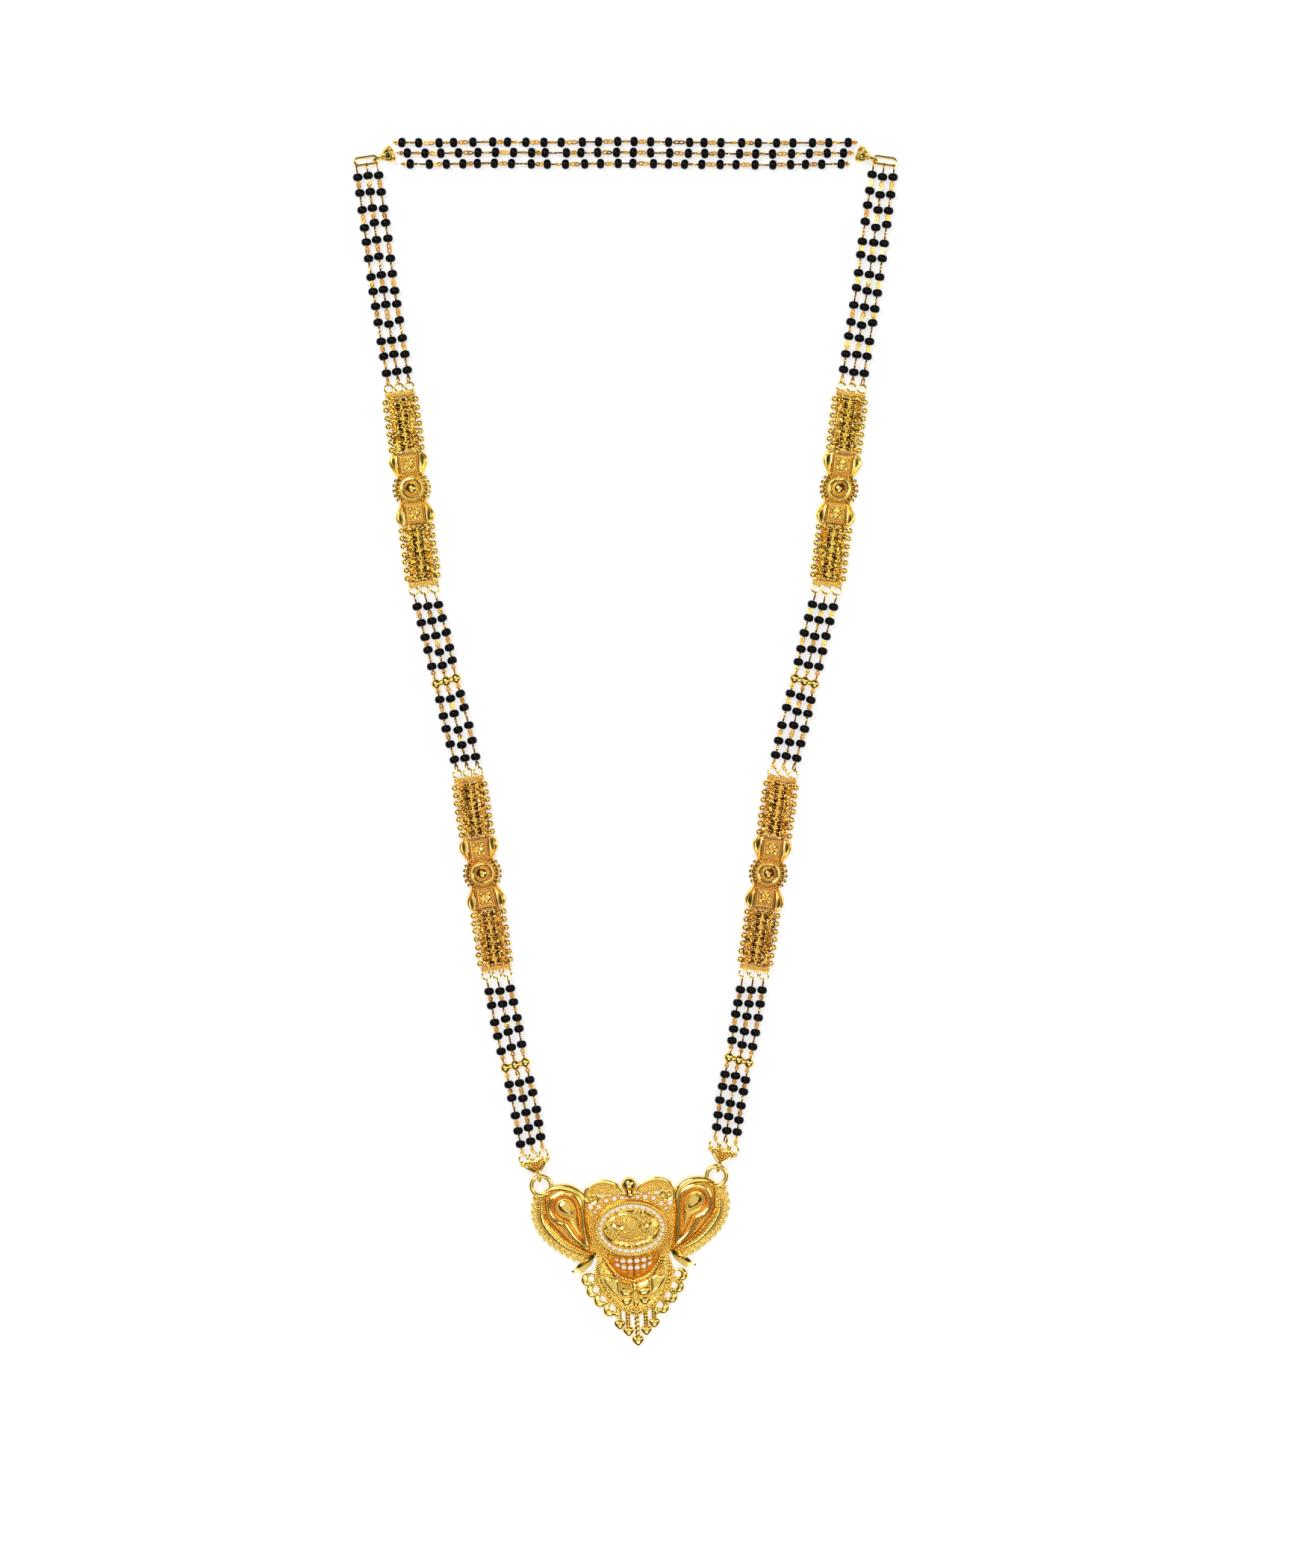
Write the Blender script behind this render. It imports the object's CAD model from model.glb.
"""Looks of a long mangalsutra: bead strings, chain panels, castings and the winged pendant.

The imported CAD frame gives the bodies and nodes. Shapes are made in millimetres, in the part's own frame,
and turned into metres with their meshes. Sizes and places repeat the CAD source's own formulas.
"""

from __future__ import annotations

import logging
import math
from dataclasses import dataclass
from enum import Enum
from typing import Callable, Iterable, Sequence

import bpy
import numpy as np
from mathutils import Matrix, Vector
from mathutils.geometry import tessellate_polygon

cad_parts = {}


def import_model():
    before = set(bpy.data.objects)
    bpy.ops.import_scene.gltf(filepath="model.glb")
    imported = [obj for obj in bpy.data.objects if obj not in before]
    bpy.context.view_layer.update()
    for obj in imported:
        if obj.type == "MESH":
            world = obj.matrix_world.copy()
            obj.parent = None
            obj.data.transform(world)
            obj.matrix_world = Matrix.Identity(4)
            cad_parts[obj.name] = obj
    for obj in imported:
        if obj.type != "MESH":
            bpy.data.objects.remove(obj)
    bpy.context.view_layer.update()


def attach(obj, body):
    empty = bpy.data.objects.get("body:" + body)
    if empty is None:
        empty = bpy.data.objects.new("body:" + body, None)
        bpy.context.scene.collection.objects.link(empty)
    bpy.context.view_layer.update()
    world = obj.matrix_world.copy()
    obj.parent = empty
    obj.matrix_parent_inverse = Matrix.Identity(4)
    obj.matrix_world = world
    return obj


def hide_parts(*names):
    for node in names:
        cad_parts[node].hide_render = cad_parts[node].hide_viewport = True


LOG = logging.getLogger("mangalsutra")
MM = 0.001
Array = np.ndarray
Colour = tuple[float, float, float]
Points = tuple[tuple[float, float], ...]
Rows = Sequence[Sequence[float]]
MIRROR = np.array([-1.0, 1.0])


class Tone(Enum):
    """How far a gold surface lies in a recess, which turns its colour from yellow to orange to dark."""

    POLISHED = 0.0
    CAST = 0.2
    CHANNEL = 0.38
    RECESS = 0.75
    DARK = 1.0


class Side(Enum):
    """The two sides of the necklace as seen from above."""

    LEFT = "left"
    RIGHT = "right"

    def out(self, v: Array) -> Array:
        """Return a left-side vector as it is on this side."""
        return v if self is Side.LEFT else v * MIRROR


class Hold(Enum):
    """What a bead string is held by at one of its ends."""

    RING = "ring"
    BALL = "ball"
    LINK = "link"
    CAP = "cap"


def columns(*parts: Array) -> Array:
    """Return these side by side, with one row for each point."""
    return np.column_stack(parts)


def angles(count: int) -> Array:
    """Return so many angles at even steps round a circle, in radians."""
    return np.linspace(0, 2 * np.pi, count, endpoint=False)


def turned(v: Sequence[float], degrees: float) -> Array:
    """Return a flat vector turned anticlockwise."""
    c, s = math.cos(math.radians(degrees)), math.sin(math.radians(degrees))
    return np.array([v[0] * c - v[1] * s, v[0] * s + v[1] * c])


def leaning(length: float, lean: float) -> Array:
    """Return the step of a run of this length that leans to the left."""
    return turned((0.0, length), lean)


def unit(v: Array) -> Array:
    """Return vectors of length one along the last axis."""
    return v / np.maximum(np.linalg.norm(v, axis=-1, keepdims=True), 1e-9)


def smooth_curve(points: Rows, steps: int, closed: bool = False) -> Array:
    """Return a Catmull-Rom curve through the points.

    Args:
        points: The points, each with two or three numbers.
        steps: Pieces between each two points.
        closed: Whether the last point leads back to the first.

    Returns:
        The curve's points.
    """
    p = np.asarray(points, float)
    count = len(p)
    t = np.linspace(0, 1, steps, endpoint=False)[:, None]
    rows = []
    for i in range(count if closed else count - 1):
        if closed:
            a, b, c, d = (p[(i + k) % count] for k in (-1, 0, 1, 2))
        else:
            a, b, c, d = (p[min(max(i + k, 0), count - 1)] for k in (-1, 0, 1, 2))
        rows.append(
            0.5 * (2 * b + (c - a) * t + (2 * a - 5 * b + 4 * c - d) * t**2 + (3 * b - a - 3 * c + d) * t**3))
    if not closed:
        rows.append(p[-1:])
    return np.vstack(rows)


def evenly(path: Array, count: int, closed: bool = False) -> Array:
    """Return the path with this many points at even distances.

    Args:
        path: The points to follow.
        count: How many points to return.
        closed: Whether the path leads back to its first point, which isn't repeated.

    Returns:
        The evenly spaced points.
    """
    route = np.vstack([path, path[:1]]) if closed else path
    along = np.concatenate([[0.0], np.cumsum(np.linalg.norm(np.diff(route, axis=0), axis=1))])
    at = np.linspace(0, along[-1], count, endpoint=not closed)
    return np.stack([np.interp(at, along, route[:, k]) for k in range(route.shape[1])], axis=1)


def lifted(path: Rows, z: float) -> Array:
    """Return flat points with one height."""
    flat = np.asarray(path, float)[:, :2]
    return columns(flat, np.full(len(flat), z))


def headings(path: Array, closed: bool) -> Array:
    """Return the direction of a path at each of its points.

    Args:
        path: The points to follow.
        closed: Whether the last point leads back to the first.

    Returns:
        One row of length one for each point.
    """
    ahead = np.roll(path, -1, 0) - np.roll(path, 1, 0)
    if not closed:
        ahead[0], ahead[-1] = path[1] - path[0], path[-1] - path[-2]
    return unit(ahead)


def flat_normals(path: Array) -> Array:
    """Return the left-hand normals of an open flat path."""
    ahead = headings(path[:, :2], False)
    return columns(-ahead[:, 1], ahead[:, 0])


def each(value: float | Array, count: int) -> Array:
    """Return one number for each of so many points, from one for all or from one for each."""
    return np.full(count, value) if np.isscalar(value) else np.asarray(value, float)


def both_sides(rows: Rows) -> Array:
    """Return rows that start with x, followed by their mirror images across x = 0."""
    right = np.asarray(rows, float)
    return np.vstack([right, columns(-right[:, 0], right[:, 1:])])


def arch(half: Rows) -> Array:
    """Return a flat curve that ends on x = 0, carried on by its mirror image."""
    flat = np.asarray(half, float)
    return np.vstack([flat, flat[-2::-1] * MIRROR])


def signed_area(outline: Array) -> float:
    """Return twice the area of an outline, below zero if it runs clockwise."""
    x, y = outline[:, 0], outline[:, 1]
    return float(np.sum(x * np.roll(y, -1) - np.roll(x, -1) * y))


def anticlockwise(outline: Array) -> Array:
    """Return an outline in its anticlockwise order."""
    return outline if signed_area(outline) >= 0 else outline[::-1]


def inside(spot: Array, outline: Array) -> bool:
    """Return whether a spot is inside an outline.

    Args:
        spot: The flat spot.
        outline: The closed outline, in either order.

    Returns:
        Whether it is inside.
    """
    a, b = outline, np.roll(outline, -1, 0)
    crosses = (a[:, 1] > spot[1]) != (b[:, 1] > spot[1])
    x = a[:, 0] + (spot[1] - a[:, 1]) * (b[:, 0] - a[:, 0]) / np.where(crosses, b[:, 1] - a[:, 1], 1.0)
    return bool(np.sum(crosses & (spot[0] < x)) % 2)


def strewn(random: np.random.Generator, tries: int, field: Rows, fits: Callable[[Array], bool], apart: float,
           order: int = 1) -> Array:
    """Return random flat spots that keep clear of one another.

    Args:
        random: The source of the draws.
        tries: How many spots are drawn.
        field: Its lowest and its highest corner.
        fits: Tells whether a spot may be kept.
        apart: The least distance between two spots.
        order: 1 to measure along x plus along y, 2 to measure straight.

    Returns:
        The spots that are kept.
    """
    spots: list[Array] = []
    for _ in range(tries):
        spot = random.uniform(*field)
        if fits(spot) and all(np.linalg.norm(spot - other, order) > apart for other in spots):
            spots.append(spot)
    return np.array(spots)


def oval(width: float, height: float, count: int, centre: Sequence[float] = (0.0, 0.0)) -> Array:
    """Return the points of an oval, anticlockwise from the right."""
    a = angles(count)
    return columns(centre[0] + width / 2 * np.cos(a), centre[1] + height / 2 * np.sin(a))


@dataclass
class Shape:
    """A mesh in the making.

    Attributes:
        points: One row of x, y, z in millimetres for each point.
        faces: Arrays of point numbers, one row a face, with as many corners in every row of an array.
        tone: How deep in a recess each point is, from 0 to 1.
    """

    points: Array
    faces: list[Array]
    tone: Array

    @staticmethod
    def made(points: Array, faces: Iterable[Array]) -> "Shape":
        """Return a polished shape."""
        return Shape(np.asarray(points, float), [np.asarray(f, int) for f in faces], np.zeros(len(points)))

    @staticmethod
    def join(shapes: Iterable["Shape"]) -> "Shape":
        """Return one shape with all of these in it.

        Args:
            shapes: The shapes, in the order of their points.

        Returns:
            The joined shape.
        """
        points, faces, tones, start = [], [], [], 0
        for shape in shapes:
            points.append(shape.points)
            tones.append(shape.tone)
            faces.extend(f + start for f in shape.faces)
            start += len(shape.points)
        return Shape(np.vstack(points), faces, np.concatenate(tones))

    def with_points(self, points: Array) -> "Shape":
        """Return the same faces on other points."""
        return Shape(points, self.faces, self.tone)

    def moved(self, x: float, y: float, z: float = 0.0) -> "Shape":
        """Return the shape moved."""
        return self.with_points(self.points + np.array([x, y, z]))

    def scaled(self, x: float, y: float, z: float) -> "Shape":
        """Return the shape stretched."""
        return self.with_points(self.points * np.array([x, y, z]))

    def spun(self, degrees: float, axis: str = "z") -> "Shape":
        """Return the shape turned about an axis.

        Args:
            degrees: The turn, anticlockwise from the axis's end.
            axis: The axis's letter.

        Returns:
            The turned shape.
        """
        c, s = math.cos(math.radians(degrees)), math.sin(math.radians(degrees))
        matrices = {
            "x": [[1, 0, 0], [0, c, -s], [0, s, c]],
            "y": [[c, 0, s], [0, 1, 0], [-s, 0, c]],
            "z": [[c, -s, 0], [s, c, 0], [0, 0, 1]],
        }
        return self.with_points(self.points @ np.array(matrices[axis]).T)

    def mirrored(self) -> "Shape":
        """Return the mirror image across x = 0."""
        return Shape(self.points * np.array([-1, 1, 1]), [f[:, ::-1] for f in self.faces], self.tone)

    def both(self) -> "Shape":
        """Return the shape with its mirror image."""
        return Shape.join([self, self.mirrored()])

    def painted(self, tone: Array) -> "Shape":
        """Return the shape with a tone for each point."""
        return Shape(self.points, self.faces, tone)

    def toned(self, tone: Tone) -> "Shape":
        """Return the shape with one tone all over."""
        return self.painted(np.full(len(self.points), tone.value))

    def scattered(self, spots: Rows, turns: Array | None = None, sizes: Array | None = None) -> "Shape":
        """Return a copy of the shape on each spot.

        Args:
            spots: One row of x, y, z for each copy.
            turns: Each copy's turn about z in degrees.
            sizes: Each copy's scale.

        Returns:
            All the copies as one shape.
        """
        count, size = len(spots), len(self.points)
        points = np.repeat(self.points[None], count, axis=0)
        if sizes is not None:
            points = points * np.asarray(sizes)[:, None, None]
        if turns is not None:
            a = np.radians(turns)[:, None]
            x, y = points[..., 0].copy(), points[..., 1].copy()
            points[..., 0] = x * np.cos(a) - y * np.sin(a)
            points[..., 1] = x * np.sin(a) + y * np.cos(a)
        points = (points + np.asarray(spots, float)[:, None, :]).reshape(-1, 3)
        starts = np.arange(count)[:, None, None] * size
        faces = [(f[None] + starts).reshape(-1, f.shape[1]) for f in self.faces]
        return Shape(points, faces, np.tile(self.tone, count))

    def placed(self, place: "Place") -> "Shape":
        """Return the shape at a place of the layout."""
        shape = self.spun(place.lean)
        return (shape if place.side is Side.LEFT else shape.mirrored()).moved(*place.at)


@dataclass(frozen=True)
class Place:
    """A place of the layout: a point, a lean and the side, whose right half is mirrored."""

    at: Array
    lean: float
    side: Side


def grid(points: Array, along: bool = False) -> Shape:
    """Return a closed surface through a grid of points.

    Args:
        points: Rows along the form, with the points around it in each row.
        along: Whether the last row leads back to the first. If not, each end row gets a face.

    Returns:
        The surface.
    """
    rows, cols = points.shape[:2]
    i = np.arange(rows if along else rows - 1)[:, None]
    j = np.arange(cols)[None, :]
    a, b = i * cols + j, i * cols + (j + 1) % cols
    c, d = ((i + 1) % rows) * cols + (j + 1) % cols, ((i + 1) % rows) * cols + j
    faces = [np.stack([a, b, c, d], axis=-1).reshape(-1, 4)]
    if not along:
        faces.append(np.arange(cols)[None, ::-1])
        faces.append((np.arange(cols) + (rows - 1) * cols)[None])
    return Shape.made(points.reshape(-1, 3), faces)


def sweep(path: Array, radius: float | Array, sides: int = 8, closed: bool = False,
          flat: float = 1.0, up: Sequence[float] = (0.0, 0.0, 1.0)) -> Shape:
    """Return a round wire along a path.

    Args:
        path: Points in space.
        radius: One radius, or one for each point.
        sides: Faces round the wire.
        closed: Whether the wire closes on itself.
        flat: Height of the section over its width.
        up: A direction that is never along the path.

    Returns:
        The wire.
    """
    ahead = headings(path, closed)
    across = unit(np.cross(ahead, np.asarray(up, float)))
    normal = np.cross(across, ahead)
    a = angles(sides)
    section = across[:, None] * np.cos(a)[None, :, None] + normal[:, None] * np.sin(a)[None, :, None] * flat
    return grid(path[:, None] + section * each(radius, len(path))[:, None, None], closed)


def cord(path: Rows, radius: float | Array, z: float, sides: int = 8, closed: bool = False,
         flat: float = 1.0) -> Shape:
    """Return a wire along a flat path at one height, with its open ends rounded off.

    Args:
        path: The flat path.
        radius: One radius, or one for each point.
        z: The path's height.
        sides: Faces round the wire.
        closed: Whether the wire closes on itself.
        flat: Height of the section over its width.

    Returns:
        The wire.
    """
    points = lifted(path, z)
    if closed:
        return sweep(points, radius, sides, True, flat)
    radii = each(radius, len(points))
    first, last = unit(points[0] - points[1]), unit(points[-1] - points[-2])
    steps = np.array([0.6, 0.9])
    head = points[0] + first * radii[0] * steps[::-1, None]
    tail = points[-1] + last * radii[-1] * steps[:, None]
    shrink = np.array([0.8, 0.35])
    points = np.vstack([head, points, tail])
    radii = np.concatenate([radii[0] * shrink[::-1], radii, radii[-1] * shrink])
    return sweep(points, radii, sides, False, flat)


def ring(radius: float, wire: float, around: int = 28, sides: int = 8) -> Shape:
    """Return a flat ring of round wire, given its middle radius and the wire's diameter."""
    return sweep(lifted(oval(2 * radius, 2 * radius, around), 0.0), wire / 2, sides, True)


def lathe(profile: Rows, sides: int, wave: Array | None = None) -> Shape:
    """Return a turned form about z.

    Args:
        profile: Rows of radius and height, from the bottom outward and up.
        sides: Points round the form.
        wave: A factor on the radius for each point round it.

    Returns:
        The turned form, with a face over each end.
    """
    p = np.asarray(profile, float)
    a = angles(sides)
    factor = np.ones(sides) if wave is None else wave
    x = p[:, :1] * (np.cos(a) * factor)[None]
    y = p[:, :1] * (np.sin(a) * factor)[None]
    z = np.repeat(p[:, 1:], sides, axis=1)
    return grid(np.stack([x, y, z], axis=-1))


def ball(radius: float, sides: int = 10, rings: int = 7) -> Shape:
    """Return a ball round the origin.

    Args:
        radius: The ball's radius.
        sides: Faces round it.
        rings: Rows of faces from pole to pole.

    Returns:
        The ball.
    """
    t = np.linspace(-np.pi / 2, np.pi / 2, rings + 1)
    t[0], t[-1] = t[0] + 0.08, t[-1] - 0.08
    return lathe(columns(radius * np.cos(t), radius * np.sin(t)), sides)


def plate(outline: Array, low: float, high: float, holes: Sequence[Array] = ()) -> Shape:
    """Return a flat plate with straight holes.

    Args:
        outline: The flat outline, anticlockwise.
        low: The underside's height.
        high: The top's height.
        holes: The holes' outlines.

    Returns:
        The plate as a closed solid.
    """
    loops = [outline, *holes]
    triangles = np.array(tessellate_polygon([[Vector((x, y, 0)) for x, y in loop] for loop in loops]))
    flat = np.vstack(loops)
    a, b, c = (flat[triangles[:, k]] for k in range(3))
    area = (b[:, 0] - a[:, 0]) * (c[:, 1] - a[:, 1]) - (b[:, 1] - a[:, 1]) * (c[:, 0] - a[:, 0])
    triangles[area < 0] = triangles[area < 0][:, ::-1]
    count = len(flat)
    points = np.vstack([lifted(flat, high), lifted(flat, low)])
    faces = [triangles, triangles[:, ::-1] + count]
    start = 0
    for index, loop in enumerate(loops):
        size = len(loop)
        i = np.arange(size) + start
        j = (np.arange(size) + 1) % size + start
        wall = np.stack([i + count, j + count, j, i], axis=1)
        faces.append(wall if (signed_area(loop) > 0) == (index == 0) else wall[:, ::-1])
        start += size
    return Shape.made(points, faces)


def box(width: float, length: float, low: float, high: float, bevel: float = 0.1) -> Shape:
    """Return a block round the origin with a bevelled top.

    Args:
        width: Size along x.
        length: Size along y.
        low: The underside's height.
        high: The top's height.
        bevel: Width and depth of the bevel.

    Returns:
        The block.
    """
    w, h = width / 2, length / 2
    outline = np.array([[-w, -h], [w, -h], [w, h], [-w, h]])
    inner = outline * np.array([1 - bevel / w, 1 - bevel / h])
    rows = [lifted(outline, low), lifted(outline, high - bevel), lifted(inner, high)]
    return grid(np.stack(rows))


def dome(outline: Array, centre: Sequence[float], low: float, base: float, rise: float,
         rings: int = 5) -> Shape:
    """Return a cushion over an outline that can be seen whole from its centre.

    Args:
        outline: The flat outline, anticlockwise.
        centre: The highest place.
        low: The underside's height.
        base: The height where the rounding starts.
        rise: How far the middle stands over the base.
        rings: Rows of faces in the rounding.

    Returns:
        The cushion as a closed solid.
    """
    c = np.asarray(centre, float)
    rows = [lifted(outline, low)]
    for t in np.linspace(0, 0.98, rings + 1) * np.pi / 2:
        rows.append(lifted(c + (outline - c) * math.cos(t), base + rise * math.sin(t)))
    return grid(np.stack(rows))


def band(path: Array, widths: float | Array, profile: Rows, base: float, low: float,
         rises: float | Array = 1.0, ribs: int = 0, rib_h: float = 0.0,
         ribbed: tuple[float, float] = (-1.0, 1.0), slant: float = 0.0,
         shade: tuple[float, float] = (1.0, 1.0)) -> Shape:
    """Return a raised band along a flat path, with cross ribs on a part of its width.

    Args:
        path: The middle line, evenly spaced.
        widths: Half the band's width, one number or one a point.
        profile: Rows of place across, from -1 on the right to 1 on the left, and height.
        base: Height that the profile stands on.
        low: The underside's height.
        rises: A factor on the profile's height, one number or one for each point.
        ribs: Ribs along the whole path.
        rib_h: Depth of the grooves between ribs.
        ribbed: The places across between which the ribs are cut.
        slant: How far a rib's inner end lags behind its outer end, in ribs.
        shade: A groove's tone at the right edge and at the left edge.

    Returns:
        The band as a closed solid.
    """
    u, z = np.asarray(profile, float).T
    half = each(widths, len(path))[:, None]
    flat = path[:, None, :2] + flat_normals(path)[:, None] * (half * u[None])[..., None]
    height = base + z[None] * each(rises, len(path))[:, None]
    tone = np.zeros((len(path), len(u) + 2))
    if ribs:
        grooved = (u > ribbed[0] - 1e-6) & (u < ribbed[1] + 1e-6)
        place = np.linspace(0, ribs, len(path))[:, None] + slant * u[None]
        groove = np.where(grooved[None], 1 - np.abs(np.sin(np.pi * place)), 0.0)
        height = height - rib_h * groove
        tone[:, 1:-1] = (groove * np.interp(u, (-1, 1), shade))[:, ::-1]
    top = np.concatenate([flat, height[..., None]], axis=-1)
    right, left = top[:, :1].copy(), top[:, -1:].copy()
    right[..., 2], left[..., 2] = low, low
    points = np.concatenate([right, top, left], axis=1)[:, ::-1]
    return grid(points).painted(tone.reshape(-1))


def granules(spots: Rows, radius: float | Array, z: float) -> Shape:
    """Return a small ball on each flat spot, with one radius or one for each."""
    grain = lathe([(0.7, -0.7), (1.0, -0.1), (0.8, 0.6), (0.3, 0.95)], 8)
    return grain.scattered(lifted(spots, z), sizes=each(radius, len(spots)))


def milgrain(path: Rows, radius: float, z: float, closed: bool = False, spacing: float = 2.0) -> Shape:
    """Return a row of granules along a flat path.

    Args:
        path: The path to follow.
        radius: The granules' radius.
        z: Their height.
        closed: Whether the path leads back to its first point, which isn't repeated.
        spacing: The distance between two granules, in radii.

    Returns:
        The row.
    """
    line = np.asarray(path, float)
    route = np.vstack([line, line[:1]]) if closed else line
    length = float(np.linalg.norm(np.diff(route, axis=0), axis=1).sum())
    count = max(3, round(length / (radius * spacing)))
    return granules(evenly(line, count, closed), radius, z)


class Value:
    """A number socket of a shader, with arithmetic that adds math nodes."""

    def __init__(self, graph: "Graph", socket: bpy.types.NodeSocket) -> None:
        """Keep the graph that new nodes go to and the socket."""
        self.graph = graph
        self.socket = socket

    def _math(self, operation: str, *terms: "Value | float", clamp: bool = False) -> "Value":
        """Return the result of a math node on these terms."""
        node = self.graph.node("ShaderNodeMath", {"operation": operation, "use_clamp": clamp}, list(terms))
        return Value(self.graph, node.outputs[0])

    def __add__(self, other: "Value | float") -> "Value":
        """Add."""
        return self._math("ADD", self, other)

    def __radd__(self, other: float) -> "Value":
        """Add to a number."""
        return self._math("ADD", other, self)

    def __sub__(self, other: "Value | float") -> "Value":
        """Subtract."""
        return self._math("SUBTRACT", self, other)

    def __mul__(self, other: "Value | float") -> "Value":
        """Multiply."""
        return self._math("MULTIPLY", self, other)

    def clamped(self) -> "Value":
        """Return the value kept between 0 and 1."""
        return self._math("ADD", self, 0.0, clamp=True)


class Graph:
    """A shader's node tree, with one method that adds any node."""

    def __init__(self, tree: bpy.types.NodeTree) -> None:
        """Start from an empty tree."""
        self.tree = tree
        tree.nodes.clear()

    def node(self, kind: str, settings: dict[str, object] | None = None,
             inputs: dict[str | int, object] | list[object] | None = None) -> bpy.types.Node:
        """Add a node.

        Args:
            kind: The node's type name.
            settings: Attributes to set on it.
            inputs: Values or sockets for its inputs, by name or number, or in order.

        Returns:
            The new node.
        """
        node = self.tree.nodes.new(kind)
        for name, setting in (settings or {}).items():
            setattr(node, name, setting)
        pairs = inputs.items() if isinstance(inputs, dict) else enumerate(inputs or [])
        for key, value in pairs:
            source = value.socket if isinstance(value, Value) else value
            if isinstance(source, bpy.types.NodeSocket):
                self.tree.links.new(source, node.inputs[key])
            else:
                node.inputs[key].default_value = source
        return node

    def noise(self, scale: float) -> Value:
        """Return a noise between 0 and 1 over the object, with about this many cells a metre.

        Args:
            scale: The noise's scale.

        Returns:
            The noise.
        """
        place = self.node("ShaderNodeTexCoord").outputs["Object"]
        node = self.node("ShaderNodeTexNoise", inputs={"Vector": place, "Scale": scale})
        return Value(self, node.outputs[0])

    def tone(self) -> Value:
        """Return the mesh's own tone."""
        return Value(self, self.node("ShaderNodeAttribute", {"attribute_name": "tone"}).outputs["Fac"])

    def mix(self, share: Value, first: object, second: object) -> bpy.types.NodeSocket:
        """Return a colour between two colours."""
        start, end = ((*c, 1.0) if isinstance(c, tuple) else c for c in (first, second))
        return self.node("ShaderNodeMix", {"data_type": "RGBA"}, {0: share, 6: start, 7: end}).outputs[2]

    def bump(self, height: Value, strength: float, distance: float) -> bpy.types.NodeSocket:
        """Return a normal bent by a height."""
        inputs = {"Strength": strength, "Distance": distance, "Height": height}
        return self.node("ShaderNodeBump", inputs=inputs).outputs["Normal"]

    def surface(self, inputs: dict[str, object]) -> None:
        """End the tree in the main shader with these inputs."""
        shader = self.node("ShaderNodeBsdfPrincipled", inputs=inputs)
        self.node("ShaderNodeOutputMaterial", inputs={"Surface": shader.outputs[0]})


def new_material(name: str) -> tuple[bpy.types.Material, Graph]:
    """Return a material and its empty graph.

    Args:
        name: The material's name.

    Returns:
        The material, and the graph to fill.
    """
    material = bpy.data.materials.new(name)
    material.use_nodes = True
    return material, Graph(material.node_tree)


@dataclass(frozen=True)
class Gold:
    """Gold plating that is bright on raised parts, orange in recesses and dark at their bottom."""

    name: str
    bright: Colour
    recess: Colour = (0.80, 0.35, 0.028)
    dark: Colour = (0.03, 0.014, 0.004)
    roughness: float = 0.16

    def material(self) -> bpy.types.Material:
        """Build the finish."""
        material, graph = new_material(self.name)
        tone = graph.tone()
        wear = graph.noise(700.0)
        orange = (tone * 1.45 + (wear - 0.5) * 0.25).clamped()
        depth = ((tone - 0.78) * 4.5).clamped()
        colour = graph.mix(depth, graph.mix(orange, self.bright, self.recess), self.dark)
        roughness = (self.roughness + tone * 0.18 + (wear - 0.5) * 0.12).clamped()
        graph.surface({
            "Base Color": colour,
            "Metallic": 1.0,
            "Roughness": roughness,
            "Normal": graph.bump(graph.noise(2600.0), 0.12, 0.0002),
        })
        return material


@dataclass(frozen=True)
class BlackGlass:
    """Glossy black glass of the beads."""

    name: str = "black glass"
    colour: Colour = (0.003, 0.003, 0.004)

    def material(self) -> bpy.types.Material:
        """Build the finish."""
        material, graph = new_material(self.name)
        cloud = graph.noise(420.0)
        graph.surface({
            "Base Color": graph.mix(cloud, self.colour, tuple(c * 2.0 for c in self.colour)),
            "Roughness": cloud * 0.12 + 0.12,
            "Specular IOR Level": 0.15,
        })
        return material


@dataclass(frozen=True)
class PaleFloor:
    """The plain pale surface that the necklace lies on."""

    name: str = "pale floor"
    colour: Colour = (0.3, 0.3, 0.3)
    glow: float = 0.72

    def material(self) -> bpy.types.Material:
        """Build the finish."""
        material, graph = new_material(self.name)
        graph.surface({"Base Color": (*self.colour, 1.0), "Roughness": 0.75,
                       "Emission Color": (1.0, 1.0, 1.0, 1.0), "Emission Strength": self.glow})
        return material


@dataclass(frozen=True)
class Finishes:
    """The materials of the whole necklace."""

    gold: bpy.types.Material
    pale_gold: bpy.types.Material
    beads: bpy.types.Material

    @staticmethod
    def built() -> "Finishes":
        """Build every finish once."""
        return Finishes(
            gold=Gold("polished gold", (0.97, 0.73, 0.22)).material(),
            pale_gold=Gold("pale gold", (0.96, 0.67, 0.22)).material(),
            beads=BlackGlass().material(),
        )


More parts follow.
